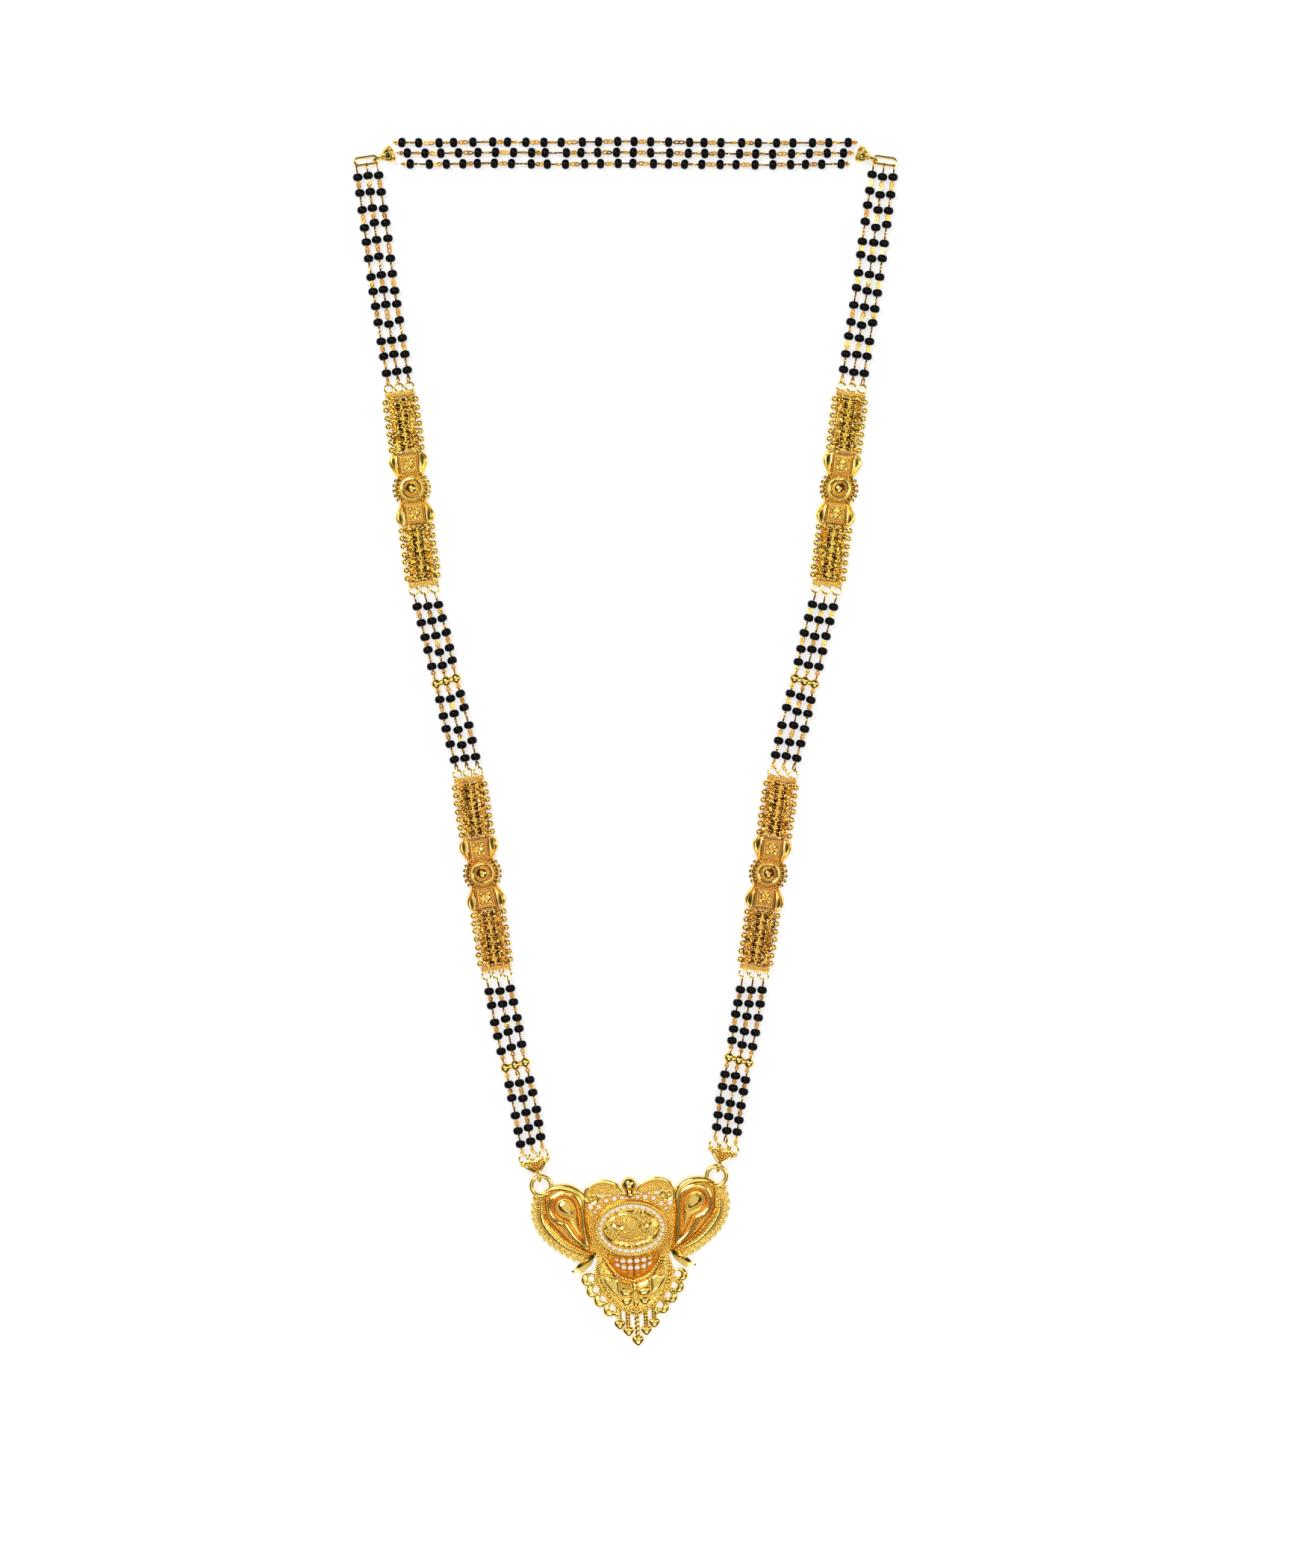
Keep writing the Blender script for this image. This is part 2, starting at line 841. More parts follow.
@dataclass
class Workshop:
    """Turns shapes into the scene's objects and ties each to the CAD frame."""

    finishes: Finishes
    pieces: int = 0
    triangles: int = 0

    def add(self, name: str, shape: Shape, slot: str, *nodes: str, sharp: float = 40.0) -> None:
        """Make one visible piece.

        Args:
            name: The object's name.
            shape: Its shape in millimetres.
            slot: Its material slot in the record.
            nodes: The CAD nodes that it stands for.
            sharp: The angle in degrees from which an edge is sharp.
        """
        mesh = bpy.data.meshes.new(name)
        faces = [row for array in shape.faces for row in array.tolist()]
        mesh.from_pydata((shape.points * MM).tolist(), [], faces)
        mesh.shade_smooth()
        mesh.set_sharp_from_angle(angle=math.radians(sharp))
        tone = mesh.attributes.new("tone", "FLOAT", "POINT")
        tone.data.foreach_set("value", shape.tone.astype(np.float32))
        mesh.materials.append(getattr(self.finishes, slot))
        piece = bpy.data.objects.new(name, mesh)
        bpy.context.scene.collection.objects.link(piece)
        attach(piece, "root")
        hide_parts(*nodes)
        count = sum((array.shape[1] - 2) * len(array) for array in shape.faces)
        self.pieces += 1
        self.triangles += count
        LOG.info("%s: %d triangles", name, count)


@dataclass(frozen=True)
class Layout:
    """Where the necklace's parts lie, from the same sizes as the CAD source, in millimetres and degrees."""

    bead_d: float = 2.9
    pitch: float = 3.05
    end_gap: float = 0.25
    low_runs: tuple[float, float] = (54.2, 50.9)
    low_leans: tuple[float, float] = (11.4, 9.8)
    mid_run: float = 54.9
    mid_lean: float = 13.4
    top_run: float = 66.9
    top_lean: float = 8.3
    panel_leans: tuple[float, float] = (8.2, 7.1)
    spacer_lean: float = 15.8
    panel_len: float = 55.5
    ring_off: float = 1.9
    ring_od: float = 3.0
    end_piece_len: float = 8.9
    end_piece_lean: float = 14.3
    hang_x: float = 25.607
    pendant_tilt: float = 3.3
    link_len: float = 7.4
    link_w: float = 3.0
    link_wire: float = 0.8
    cap_r: float = 2.6
    cap_reach: float = 4.9
    cap_slope: float = 14.6892
    cap_turn: float = 20.0
    shift: tuple[float, float] = (1.02468, -128.105)

    @property
    def axis_z(self) -> float:
        """Height of the strings' axis."""
        return self.bead_d / 2

    def hang_ring(self, side: Side) -> Array:
        """Middle of a hanging ring."""
        x = -self.hang_x if side is Side.LEFT else self.hang_x
        return turned((x, 0.0), self.pendant_tilt) + np.array(self.shift)

    def end_loops(self, side: Side) -> Array:
        """Middle loop of an end piece."""
        return self.hang_ring(side) + side.out(leaning(self.end_piece_len, self.end_piece_lean))

    def lower_bottom(self, side: Side) -> Array:
        """Middle ring below the lower panel."""
        index = 0 if side is Side.LEFT else 1
        return self.end_loops(side) + side.out(leaning(self.low_runs[index], self.low_leans[index]))

    def panel_step(self, side: Side, level: int) -> Array:
        """Step from a panel's lower rings to its upper ones; level 0 is the lower panel."""
        return side.out(leaning(self.panel_len + 2 * self.ring_off, self.panel_leans[level]))

    def lower_top(self, side: Side) -> Array:
        """Middle ring above the lower panel."""
        return self.lower_bottom(side) + self.panel_step(side, 0)

    def upper_bottom(self, side: Side) -> Array:
        """Middle ring below the upper panel."""
        return self.lower_top(side) + side.out(leaning(self.mid_run, self.mid_lean))

    def upper_top(self, side: Side) -> Array:
        """Middle ring above the upper panel."""
        return self.upper_bottom(side) + self.panel_step(side, 1)

    def corner(self, side: Side) -> Array:
        """Middle of a corner link."""
        return self.upper_top(side) + side.out(leaning(self.top_run, self.top_lean))

    def cap_tip(self, side: Side) -> Array:
        """Eye of a corner cap."""
        reach = self.link_len / 2 - self.link_wire / 2
        return self.corner(side) + side.out(turned((reach, 0.0), self.top_lean))

    def cap_mouth(self, side: Side) -> Array:
        """Middle of a corner cap's open end.

        Args:
            side: The cap's side.

        Returns:
            The middle of its mouth.
        """
        s = math.radians(self.cap_slope)
        reach = self.cap_reach * math.cos(s) + self.cap_r * math.sin(s)
        return self.cap_tip(side) + side.out(turned((reach, 0.0), self.cap_turn))

    def panel_middle(self, side: Side, level: int) -> Array:
        """Middle of a panel."""
        start = self.lower_bottom(side) if level == 0 else self.upper_bottom(side)
        return start + self.panel_step(side, level) / 2


Route = tuple[tuple[float, float, float, float], ...]
STRAIGHT: Route = ((0, -1, 0, 1), (0.5, -1.1, 0, 1.1), (1, -1, 0, 1))
BOWED: Route = ((0, -1, 0, 1), (0.5, -0.95, 0.1, 1.15), (1, -1, 0, 1))
TOP: Route = (
    (0, -1, 0, 1), (0.14, -1.05, -0.05, 1), (0.28, -1.1, -0.1, 0.95), (0.45, -1.15, -0.15, 0.9),
    (0.65, -1.1, -0.1, 1), (0.82, -1.05, -0.05, 1), (1, -1, 0, 1),
)
BACK: Route = (
    (0, -1.05, 0, 1), (0.08, -1.1, -0.05, 0.95), (0.2, -1, 0.05, 1.05), (0.35, -1.1, 0, 1),
    (0.5, -1, 0.05, 1.1), (0.65, -1.1, -0.05, 1), (0.82, -1.15, -0.1, 0.95), (1, -1.05, 0, 1),
)


@dataclass(frozen=True)
class Leg:
    """One stretch of a bead string between two holds."""

    path: Array
    count: int
    holds: tuple[Hold, Hold]


@dataclass(frozen=True)
class BeadString:
    """One string: its beads, the gold pins through them and the eyes that link each pin to the next."""

    name: str
    legs: tuple[Leg, ...]
    seed: int
    bead_d: float = 2.9
    bead_len: float = 2.1
    wire: float = 0.5
    eye_w: float = 1.45
    overlap: float = 0.74
    axis_z: float = 1.45

    def bead(self) -> Shape:
        """Return a bead that lies along x."""
        t = np.linspace(0, np.pi, 13)
        hole, half = 0.3, self.bead_len / 2 * 1.06
        radius = self.bead_d / 2 - half * (1 - np.sin(t) ** 0.9)
        height = -np.cos(t) * half * (0.96 + 0.12 * np.sin(t))
        inner = [(hole, height[-1]), (hole * 0.9, 0.0), (hole, height[0])]
        profile = np.vstack([columns(radius, height), inner])
        rows = lathe(profile, 20).points.reshape(len(profile), 20, 3)
        return grid(rows, along=True).spun(90, "y")

    def eye(self, length: float) -> Shape:
        """Return an eye that starts at the origin and runs along x, lying flat.

        Args:
            length: The eye's outer length.

        Returns:
            The eye.
        """
        t = angles(20)
        x = (length - self.wire) * (1 - np.cos(t)) / 2 + self.wire / 2
        y = (self.eye_w - self.wire) * 0.65 * np.sin(t) * np.sin(t / 2)
        return sweep(lifted(columns(x, y), 0.0), self.wire / 2, 6, True)

    def pin(self) -> Shape:
        """Return the pin through a bead, along x."""
        half = self.bead_len / 2 + 0.2
        path = np.array([[-half, 0, 0], [0, 0, 0], [half, 0, 0]])
        return sweep(path, self.wire / 2, 6)

    def _at(self, leg: Leg, s: float) -> tuple[Array, float]:
        """Return the point at a distance along a leg, and the heading there in degrees.

        Args:
            leg: The leg to follow.
            s: The distance from its start.

        Returns:
            The point and the heading.
        """
        steps = np.diff(leg.path, axis=0)
        along = np.concatenate([[0.0], np.cumsum(np.linalg.norm(steps, axis=1))])
        index = int(np.clip(np.searchsorted(along, s) - 1, 0, len(steps) - 1))
        ahead = unit(steps[index])
        return leg.path[index] + ahead * (s - along[index]), math.degrees(math.atan2(ahead[1], ahead[0]))

    def _eye_on(self, leg: Leg, start: float, length: float, roll: float) -> Shape:
        """Return an eye from a place on a leg, forward or back, rolled about the string.

        Args:
            leg: The leg to follow.
            start: Where the eye starts, from the leg's start.
            length: The eye's length, below zero if it runs back.
            roll: Its turn about the string.

        Returns:
            The eye.
        """
        point, heading = self._at(leg, start)
        eye = self.eye(abs(length)).spun(roll, "x")
        return eye.spun(heading + (180 if length < 0 else 0)).moved(point[0], point[1], self.axis_z)

    def build(self) -> tuple[Shape, Shape]:
        """Return the string's beads and its wire."""
        random = np.random.default_rng(self.seed)
        beads, wires = [], []
        bead, pin = self.bead(), self.pin()
        reach = {Hold.RING: 1.0, Hold.LINK: 1.3}
        lead = {Hold.RING: 1.45, Hold.LINK: 1.3, Hold.BALL: 1.75, Hold.CAP: 1.2}
        for leg in self.legs:
            length = float(np.linalg.norm(np.diff(leg.path, axis=0), axis=1).sum())
            slack = random.uniform(0, 0.9, 2)
            first = lead[leg.holds[0]] + self.bead_len / 2 + slack[0]
            last = length - lead[leg.holds[1]] - self.bead_len / 2 - slack[1]
            pitch = (last - first) / (leg.count - 1)
            jitter = random.uniform(-0.22, 0.22, leg.count) * (pitch - self.bead_len)
            jitter[0] = jitter[-1] = 0.0
            spots = first + np.arange(leg.count) * pitch + jitter
            for index, s in enumerate(spots):
                point, heading = self._at(leg, s)
                tilt = random.uniform(-7, 7)
                for shape, group in ((bead, beads), (pin, wires)):
                    group.append(shape.spun(heading + tilt).moved(point[0], point[1], self.axis_z))
                flat = index % 2 == 0
                for way in (-1, 1):
                    edge = s + way * (self.bead_len / 2 - 0.06)
                    other = index + way
                    roll = (0.0 if flat else 90.0) + (90.0 if way > 0 else 0.0)
                    roll += random.uniform(-22, 22)
                    if 0 <= other < leg.count:
                        gap = abs(spots[other] - s) - self.bead_len
                        wires.append(self._eye_on(leg, edge, way * ((gap + self.overlap) / 2 + 0.06), roll))
                        continue
                    hold = leg.holds[0] if way < 0 else leg.holds[1]
                    end = edge if way < 0 else length - edge
                    if hold in reach:
                        wires.append(self._eye_on(leg, edge, way * (end + reach[hold]), roll * 0.5 + 40.0))
                    else:
                        wires.append(self._eye_on(leg, edge, way * (end + self.overlap + 0.3) / 2, roll))
                        start = (0.0 if way < 0 else length) + way * 0.3
                        wires.append(
                            self._eye_on(leg, start, -way * (end + self.overlap + 0.3) / 2, roll + 90))
        return Shape.join(beads), Shape.join(wires).toned(Tone.CHANNEL)

    def dress(self, shop: Workshop) -> None:
        """Add the string to the scene.

        Args:
            shop: The workshop that makes the pieces.
        """
        beads, wires = self.build()
        shop.add(f"{self.name}_beads", beads, "beads", self.name)
        shop.add(f"{self.name}_wire", wires, "gold", self.name)


@dataclass(frozen=True)
class Strings:
    """All the bead strings, laid on the CAD's own routes."""

    layout: Layout

    def _path(
            self, number: int, ends: tuple[Array, Array], across: tuple[Array, Array], route: Route) -> Array:
        """Return one string's path, as the CAD source works it out.

        Args:
            number: The string's number, from 1.
            ends: The middle string's two ends.
            across: The direction across the strings at each end.
            route: Where the strings run.

        Returns:
            The string's path.
        """
        rows = []
        for row in route:
            t = row[0]
            sideways = (across[0] * (1 - t) + across[1] * t) * row[number] * self.layout.pitch
            rows.append(ends[0] * (1 - t) + ends[1] * t + sideways)
        return np.array(rows)

    def _run(self, side: Side, number: int, ends: tuple[Array, Array], leans: tuple[float, float],
             offs: tuple[float, float], route: Route) -> Array:
        """Return one string's path on a side run.

        Args:
            side: The run's side.
            number: The string's number, from 1.
            ends: The parts at its ends.
            leans: Their leans.
            offs: How far from each the string starts.
            route: Where the strings run.

        Returns:
            The string's path.
        """
        start = ends[0] + side.out(leaning(offs[0], leans[0]))
        stop = ends[1] - side.out(leaning(offs[1], leans[1]))
        across = (side.out(turned((1, 0), leans[0])), side.out(turned((1, 0), leans[1])))
        return self._path(number, (start, stop), across, route)

    def _pair(self, side: Side, number: int, ends: tuple[Array, Array], leans: tuple[float, float],
              routes: tuple[Route, Route]) -> tuple[Leg, Leg]:
        """Return one string's two legs between two rings, with a spacer's ball between them.

        Args:
            side: The run's side.
            number: The string's number, from 1.
            ends: The middle rings.
            leans: The rings' leans.
            routes: The route below the spacer and the one above.

        Returns:
            The leg below the spacer and the one above.
        """
        lay = self.layout
        offs = (lay.ring_od / 2 + lay.end_gap, lay.bead_d / 2 + lay.end_gap)
        middle = (ends[0] + ends[1]) / 2
        below = self._run(side, number, (ends[0], middle), (leans[0], lay.spacer_lean), offs, routes[0])
        above = self._run(side, number, (middle, ends[1]), (lay.spacer_lean, leans[1]), offs[::-1], routes[1])
        return Leg(below, 5, (Hold.RING, Hold.BALL)), Leg(above, 5, (Hold.BALL, Hold.RING))

    def side_strings(self, side: Side) -> list[BeadString]:
        """Return the nine strings of one side.

        Args:
            side: The side.

        Returns:
            The strings, from the inner to the outer.
        """
        lay = self.layout
        top_offs = (lay.ring_od / 2 + lay.end_gap, lay.link_w / 2 + lay.end_gap)
        strings = []
        for number in (1, 2, 3):
            lower = self._pair(side, number, (lay.end_loops(side), lay.lower_bottom(side)),
                               (lay.end_piece_lean, lay.panel_leans[0]), (BOWED, STRAIGHT))
            middles = self._pair(side, number, (lay.lower_top(side), lay.upper_bottom(side)), lay.panel_leans,
                                 (STRAIGHT, BOWED))
            top = self._run(side, number, (lay.upper_top(side), lay.corner(side)),
                            (lay.panel_leans[1], lay.top_lean), top_offs, TOP)
            seed = number + (10 if side is Side.LEFT else 20)
            strings.append(BeadString(f"low_{side.value}_string_{number}", lower, seed))
            strings.append(BeadString(f"mid_{side.value}_string_{number}", middles, seed + 100))
            strings.append(BeadString(f"top_{side.value}_string_{number}",
                                      (Leg(top, 13, (Hold.RING, Hold.LINK)),), seed + 200))
        return strings

    def back_strings(self) -> list[BeadString]:
        """Return the three strings behind the neck."""
        lay = self.layout
        slope = math.tan(math.radians(lay.cap_turn))
        off = lay.end_gap + lay.bead_d / 2 * slope
        across = (np.array([0.0, 1.0]), np.array([0.0, 1.0]))
        strings = []
        for number in (1, 2, 3):
            first, last = BACK[0][number] * lay.pitch, BACK[-1][number] * lay.pitch
            start = lay.cap_mouth(Side.LEFT) + np.array([off - first * slope, 0])
            stop = lay.cap_mouth(Side.RIGHT) - np.array([off - last * slope, 0])
            leg = Leg(self._path(number, (start, stop), across, BACK), 26, (Hold.CAP, Hold.CAP))
            strings.append(BeadString(f"back_string_{number}", (leg,), 300 + number))
        return strings

    def dress(self, shop: Workshop) -> None:
        """Add every string to the scene.

        Args:
            shop: The workshop that makes the pieces.
        """
        for side in Side:
            for string in self.side_strings(side):
                string.dress(shop)
        for string in self.back_strings():
            string.dress(shop)


@dataclass(frozen=True)
class Spacer:
    """Three polished balls soldered side by side, on the strings."""

    name: str
    place: Place
    ball_d: float = 2.9
    pitch: float = 3.05

    def build(self) -> Shape:
        """Return the spacer."""
        globe = ball(self.ball_d / 2, 32, 20).spun(90, "x")
        spots = np.array([[k * self.pitch, 0.0, self.ball_d / 2] for k in (-1, 0, 1)])
        joint = lathe([(1.0, -0.7), (0.8, -0.25), (0.8, 0.25), (1.0, 0.7)], 16).spun(90, "y")
        joints = joint.scattered([[k * self.pitch / 2, 0.0, self.ball_d / 2] for k in (-1, 1)])
        collar = ring(0.5, 0.22, 16, 6).spun(90, "x")
        ends = np.array([[k * self.pitch, y * 1.36, self.ball_d / 2] for k in (-1, 0, 1) for y in (-1, 1)])
        return Shape.join([globe.scattered(spots), joints, collar.scattered(ends)])

    def dress(self, shop: Workshop) -> None:
        """Add the spacer to the scene."""
        shop.add(f"{self.name}_balls", self.build().placed(self.place), "gold", self.name)


@dataclass(frozen=True)
class PanelBar:
    """A panel's end bar with its three soldered rings."""

    width: float = 8.6
    height: float = 1.2
    thick: float = 2.0
    pitch: float = 3.05
    ring_od: float = 3.0
    ring_wire: float = 0.55
    ring_off: float = 1.9
    axis_z: float = 1.45

    def build(self) -> Shape:
        """Return the bar, with its rings toward +y."""
        low, high = self.axis_z - self.thick / 2, self.axis_z + self.thick / 2
        body = box(self.width, self.height, low, high - 0.25, 0.15).toned(Tone.CAST)
        top = cord([[-self.width / 2 + 0.2, 0.38], [self.width / 2 - 0.2, 0.38]], 0.2, high - 0.22, 6)
        beads = milgrain([[-self.width / 2 + 0.3, -0.12], [self.width / 2 - 0.3, -0.12]], 0.3, high - 0.28)
        spots = np.array([[k * self.pitch, self.ring_off, self.axis_z] for k in (-1, 0, 1)])
        loop = ring((self.ring_od - self.ring_wire) / 2, self.ring_wire, 32, 8)
        tilts = np.array([4.0, -6.0, 9.0])
        solder = granules([[k * self.pitch, self.height / 2 + 0.1] for k in (-1, 0, 1)], 0.4, self.axis_z)
        random = np.random.default_rng(3)
        dust = columns(
            random.uniform(-self.width / 2 + 0.2, self.width / 2 - 0.2, 60), random.uniform(-0.5, 0.5, 60))
        grain = granules(dust, random.uniform(0.12, 0.24, 60), high - 0.26).toned(Tone.CAST)
        return Shape.join([body, top, beads, grain, loop.scattered(spots, tilts), solder])


@dataclass(frozen=True)
class PanelChain:
    """A woven band: columns of small loops and box links, with a ball on a stem at each edge row."""

    seed: int
    length: float = 16.4
    width: float = 8.2
    thick: float = 2.2
    rows: int = 7
    ball_d: float = 1.85

    def build(self) -> Shape:
        """Return the band, from y = 0 at the motif to its length at the bar."""
        random = np.random.default_rng(self.seed)
        pitch = self.length / self.rows
        mids = (np.arange(self.rows) + 0.5) * pitch
        halves = (np.arange(2 * self.rows) + 0.5) * pitch / 2
        parts = [
            box(self.width - 0.9, self.length, 0.15, 0.5, 0.1).toned(Tone.DARK).moved(0, self.length / 2)
        ]
        lane = box(2.0, self.length, 0.3, 1.2, 0.2).toned(Tone.RECESS)
        loops = [ring(r, w, 12, 5) for r, w in ((0.62, 0.44), (0.52, 0.4), (0.56, 0.42))]
        for x in (-1.0, 1.0):
            parts.append(lane.moved(x * 2.6, self.length / 2))
            for column, height, kind in ((3.45, 1.75, 0), (2.75, 1.65, 1), (2.1, 1.9, 2)):
                count = len(halves)
                jitter = random.uniform(-0.14, 0.14, (count, 2))
                spots = columns(x * column + jitter[:, 0], halves + jitter[:, 1],
                                height + random.uniform(-0.2, 0.2, count))
                for way in (-1, 1):
                    chosen = random.uniform(0, 1, count) < 0.5
                    some = spots[chosen] if way > 0 else spots[~chosen]
                    tilted = loops[kind].spun(random.uniform(8, 26) * way, "y")
                    parts.append(tilted.scattered(some, random.uniform(-80, 80, len(some))))
            grain = columns(x * random.uniform(1.8, 3.7, 54), random.uniform(0.4, self.length - 0.4, 54))
            parts.append(granules(grain, random.uniform(0.22, 0.36, 54), 1.9))
            edge = columns(np.full(21, x * 1.62), np.linspace(0.5, self.length - 0.5, 21))
            edge += random.uniform(-0.1, 0.1, edge.shape)
            parts.append(granules(edge, 0.32, 1.6))
            ends = columns(np.full(self.rows, x * (self.width / 2 + self.ball_d / 4)), mids)
            ends += random.uniform(-0.12, 0.12, ends.shape)
            parts.append(ball(self.ball_d / 2, 14, 8).scattered(lifted(ends, self.thick / 2 + 0.15)))
            for spot in ends:
                stem = np.array([[x * 3.3, spot[1], 1.35], [spot[0] - x * 0.5, spot[1], 1.3]])
                parts.append(sweep(stem, 0.36, 6).toned(Tone.CAST))
            for y in halves[random.uniform(0, 1, 2 * self.rows) < 0.6] + pitch * 0.2:
                bar = np.array([[x * 0.4, y, 1.35], [x * 1.2, y + 0.12, 1.25], [x * 2.1, y - 0.1, 1.35]])
                parts.append(sweep(bar, 0.24, 6).toned(Tone.CAST))
        link = box(1.6, 1.2, 0.9, self.thick + 0.05, 0.22)
        hole = box(0.5, 0.5, 0.9, self.thick + 0.1, 0.05).toned(Tone.DARK)
        for index, y in enumerate(halves):
            lean = random.uniform(-8, 8)
            if index % 2 == 0:
                parts.append(link.spun(lean).moved(0, y))
                if random.uniform(0, 1) < 0.4:
                    parts.append(hole.spun(lean).moved(0, y))
            else:
                shift = random.uniform(-0.1, 0.1)
                parts.append(ball(0.64, 12, 8).moved(shift, y, self.thick - 0.4))
        pins = np.array([[way * 0.95, y + way * 0.1] for y in halves for way in (-1, 1)])
        parts.append(granules(pins, 0.27, 1.75))
        rail = cord([[-self.width / 2 + 0.4, 0.3], [self.width / 2 - 0.4, 0.3]], 0.28, 1.7, 6)
        parts += [rail, rail.moved(0, self.length - 0.6)]
        return Shape.join(parts)


@dataclass(frozen=True)
class PanelMotif:
    """A panel's centre casting: a round boss between two framed squares with polished petals beside them."""

    length: float = 20.9
    square_w: float = 4.9
    petal_w: float = 10.9
    boss_r: float = 3.6
    boss_h: float = 4.4
    thick: float = 2.0

    def square(self) -> Shape:
        """Return a framed square with its four-leaf relief, round the origin."""
        w = self.square_w / 2
        top = self.thick + 0.8
        floor = box(self.square_w, self.square_w, 0.3, self.thick - 0.05, 0.1).toned(Tone.CAST)
        corners = np.array([[-w, -w], [w, -w], [w, w], [-w, w]]) * 0.93
        frame = cord(corners, 0.26, top - 0.5, 6, closed=True)
        inner = milgrain(corners * 0.78, 0.17, top - 0.55, closed=True)
        parts = [floor, frame, inner]
        leaf = smooth_curve(
            [(0.15, 0.0), (1.1, 0.55), (2.1, 0.3), (2.45, 0.0), (2.1, -0.3), (1.1, -0.55)], 4, True)
        for k in range(4):
            petal = dome(leaf, (1.2, 0.0), self.thick - 0.1, self.thick + 0.05, 0.6, 3)
            parts.append(petal.spun(45 + 90 * k))
            vein = cord([[0.5, 0.0], [1.6, 0.0]], 0.2, self.thick + 0.2, 5)
            parts.append(vein.spun(90 * k))
        parts.append(ball(0.42, 12, 8).moved(0, 0, self.thick + 0.35))
        return Shape.join(parts)

    def petal(self) -> Shape:
        """Return the polished half leaf to the right of a square whose middle is the origin."""
        t = np.linspace(0, 1, 28)
        y = -3.9 + 7.2 * t
        inner = columns(2.95 + 0.5 * np.clip(1 - 5 * t, 0, 1), y)
        bulge = (self.petal_w / 2 - 2.95) * np.clip(np.sin(np.pi * (0.03 + 0.86 * t**1.6)), 0, 1) ** 0.75
        outer = columns(np.maximum(2.95 + bulge, inner[:, 0] + 0.25), y)
        profile = [(0.0, 0.2), (0.0, 2.3), (0.05, 2.6), (0.13, 2.72), (0.22, 2.66), (0.26, 2.5), (0.74, 1.72),
                   (0.78, 1.9), (0.86, 1.98), (0.95, 1.85), (1.0, 1.6), (1.0, 0.2)]
        swell = (0.3 + 0.7 * np.sin(np.pi * (0.08 + 0.8 * t)) ** 0.5)[:, None]
        rows = []
        for u, z in profile:
            flat = inner * (1 - u) + outer * u
            height = np.full((28, 1), z) if z < 1.4 else 1.4 + (z - 1.4) * swell
            rows.append(np.hstack([flat, height]))
        skin = grid(np.stack(rows, axis=1)[:, ::-1])
        slope = np.array([0.97 if 0.3 < u < 0.68 else 0.0 for u, _ in reversed(profile)])
        core = np.clip(2.6 * np.sin(np.pi * np.clip(t * 1.15 - 0.1, 0, 1)) - 0.6, 0, 1)
        return Shape.join([skin.painted((core[:, None] * slope).reshape(-1)), cord(outer, 0.28, 1.3, 6)])

    def boss(self) -> Shape:
        """Return the round boss."""
        r, h = self.boss_r - 0.3, self.boss_h
        cup = lathe(
            [(0.1, 0.2), (r + 0.6, 0.2), (r + 0.6, 1.75), (r + 0.5, 1.9), (r, 1.95), (r, h - 1.5),
             (r - 0.08, h - 1.2), (r - 0.25, h - 1.02), (r - 0.45, h - 0.98), (r - 0.65, h - 1.08),
             (r - 0.78, h - 1.4), (r - 0.85, h - 1.6), (0.1, h - 1.6)], 48)
        grain = milgrain(oval(2 * r - 2.25, 2 * r - 2.25, 40), 0.25, h - 1.3, closed=True)
        outer = milgrain(oval(2 * r + 0.7, 2 * r + 0.7, 40), 0.2, 1.98, closed=True)
        hoop = ring(r - 1.5, 0.3, 36, 6).moved(0, 0, h - 1.3)
        facets = lathe(
            [(r - 1.45, h - 1.6), (r - 1.5, h - 1.1), (r - 2.0, h - 0.4), (0.55, h - 0.02), (0.05, h)], 24)
        angle = np.arctan2(facets.points[:, 1], facets.points[:, 0])
        reach = np.linalg.norm(facets.points[:, :2], axis=1)
        hollow = (np.abs(np.angle(np.exp(1j * (angle - 2.7)))) < 0.95) & (reach > 0.4)
        return Shape.join([cup, grain, outer, hoop, facets.painted(np.where(hollow, 0.95, 0.0))])

    def build(self) -> Shape:
        """Return the casting round the origin, with y along the panel."""
        square_y = self.length / 2 - self.square_w / 2 - 0.85
        base = box(self.square_w + 1.2, self.length, 0.1, 1.1, 0.1).toned(Tone.RECESS)
        end_y = self.length / 2
        end = milgrain([[-2.7, end_y - 0.3], [2.7, end_y - 0.3]], 0.27, 1.5)
        rails = [cord([[-2.9, end_y - y], [2.9, end_y - y]], 0.18, 1.45, 6) for y in (0.7, 5.95)]
        side = cord([[2.72, square_y - 2.6], [2.72, square_y + 2.6]], 0.14, 1.35, 6).toned(Tone.CAST)
        near = milgrain([[1.2, square_y - 3.1], [2.7, square_y - 3.3]], 0.24, 1.35).toned(Tone.CAST)
        wing = Shape.join(
            [self.square().moved(0, square_y), self.petal().both().moved(0, square_y), end, *rails,
             side.both(), near.both()])
        turns = np.radians(np.arange(-3, 4) * 16.5)
        heading = columns(np.cos(turns), np.sin(turns))
        reach = self.boss_r + 0.85
        shelf = band(evenly(heading * (reach - 0.2), 20), 0.5, [(-1, 0.9), (1, 0.9)], 0.3, 0.1)
        beads = Shape.join(
            [granules(heading * (reach - 0.1), 0.66, 1.5),
             granules(heading[1:-1] * (reach + 0.75), 0.6, 1.15), shelf.toned(Tone.CHANNEL)])
        arcs = []
        for reach, width, radius in ((4.3, 2.75, 0.22), (4.75, 2.2, 0.17)):
            x = np.linspace(-width, width, 16)
            arcs.append(cord(columns(x, np.sqrt(reach**2 - x * x)), radius, 1.25, 6).toned(Tone.CAST))
        corner = granules([(2.75, 2.95), (2.85, 3.6), (2.9, 4.4), (2.3, 4.35)], 0.3, 1.25)
        link = Shape.join([*arcs, corner.both()])
        return Shape.join(
            [base, wing, wing.spun(180), self.boss(), beads, beads.spun(180), link, link.spun(180)])


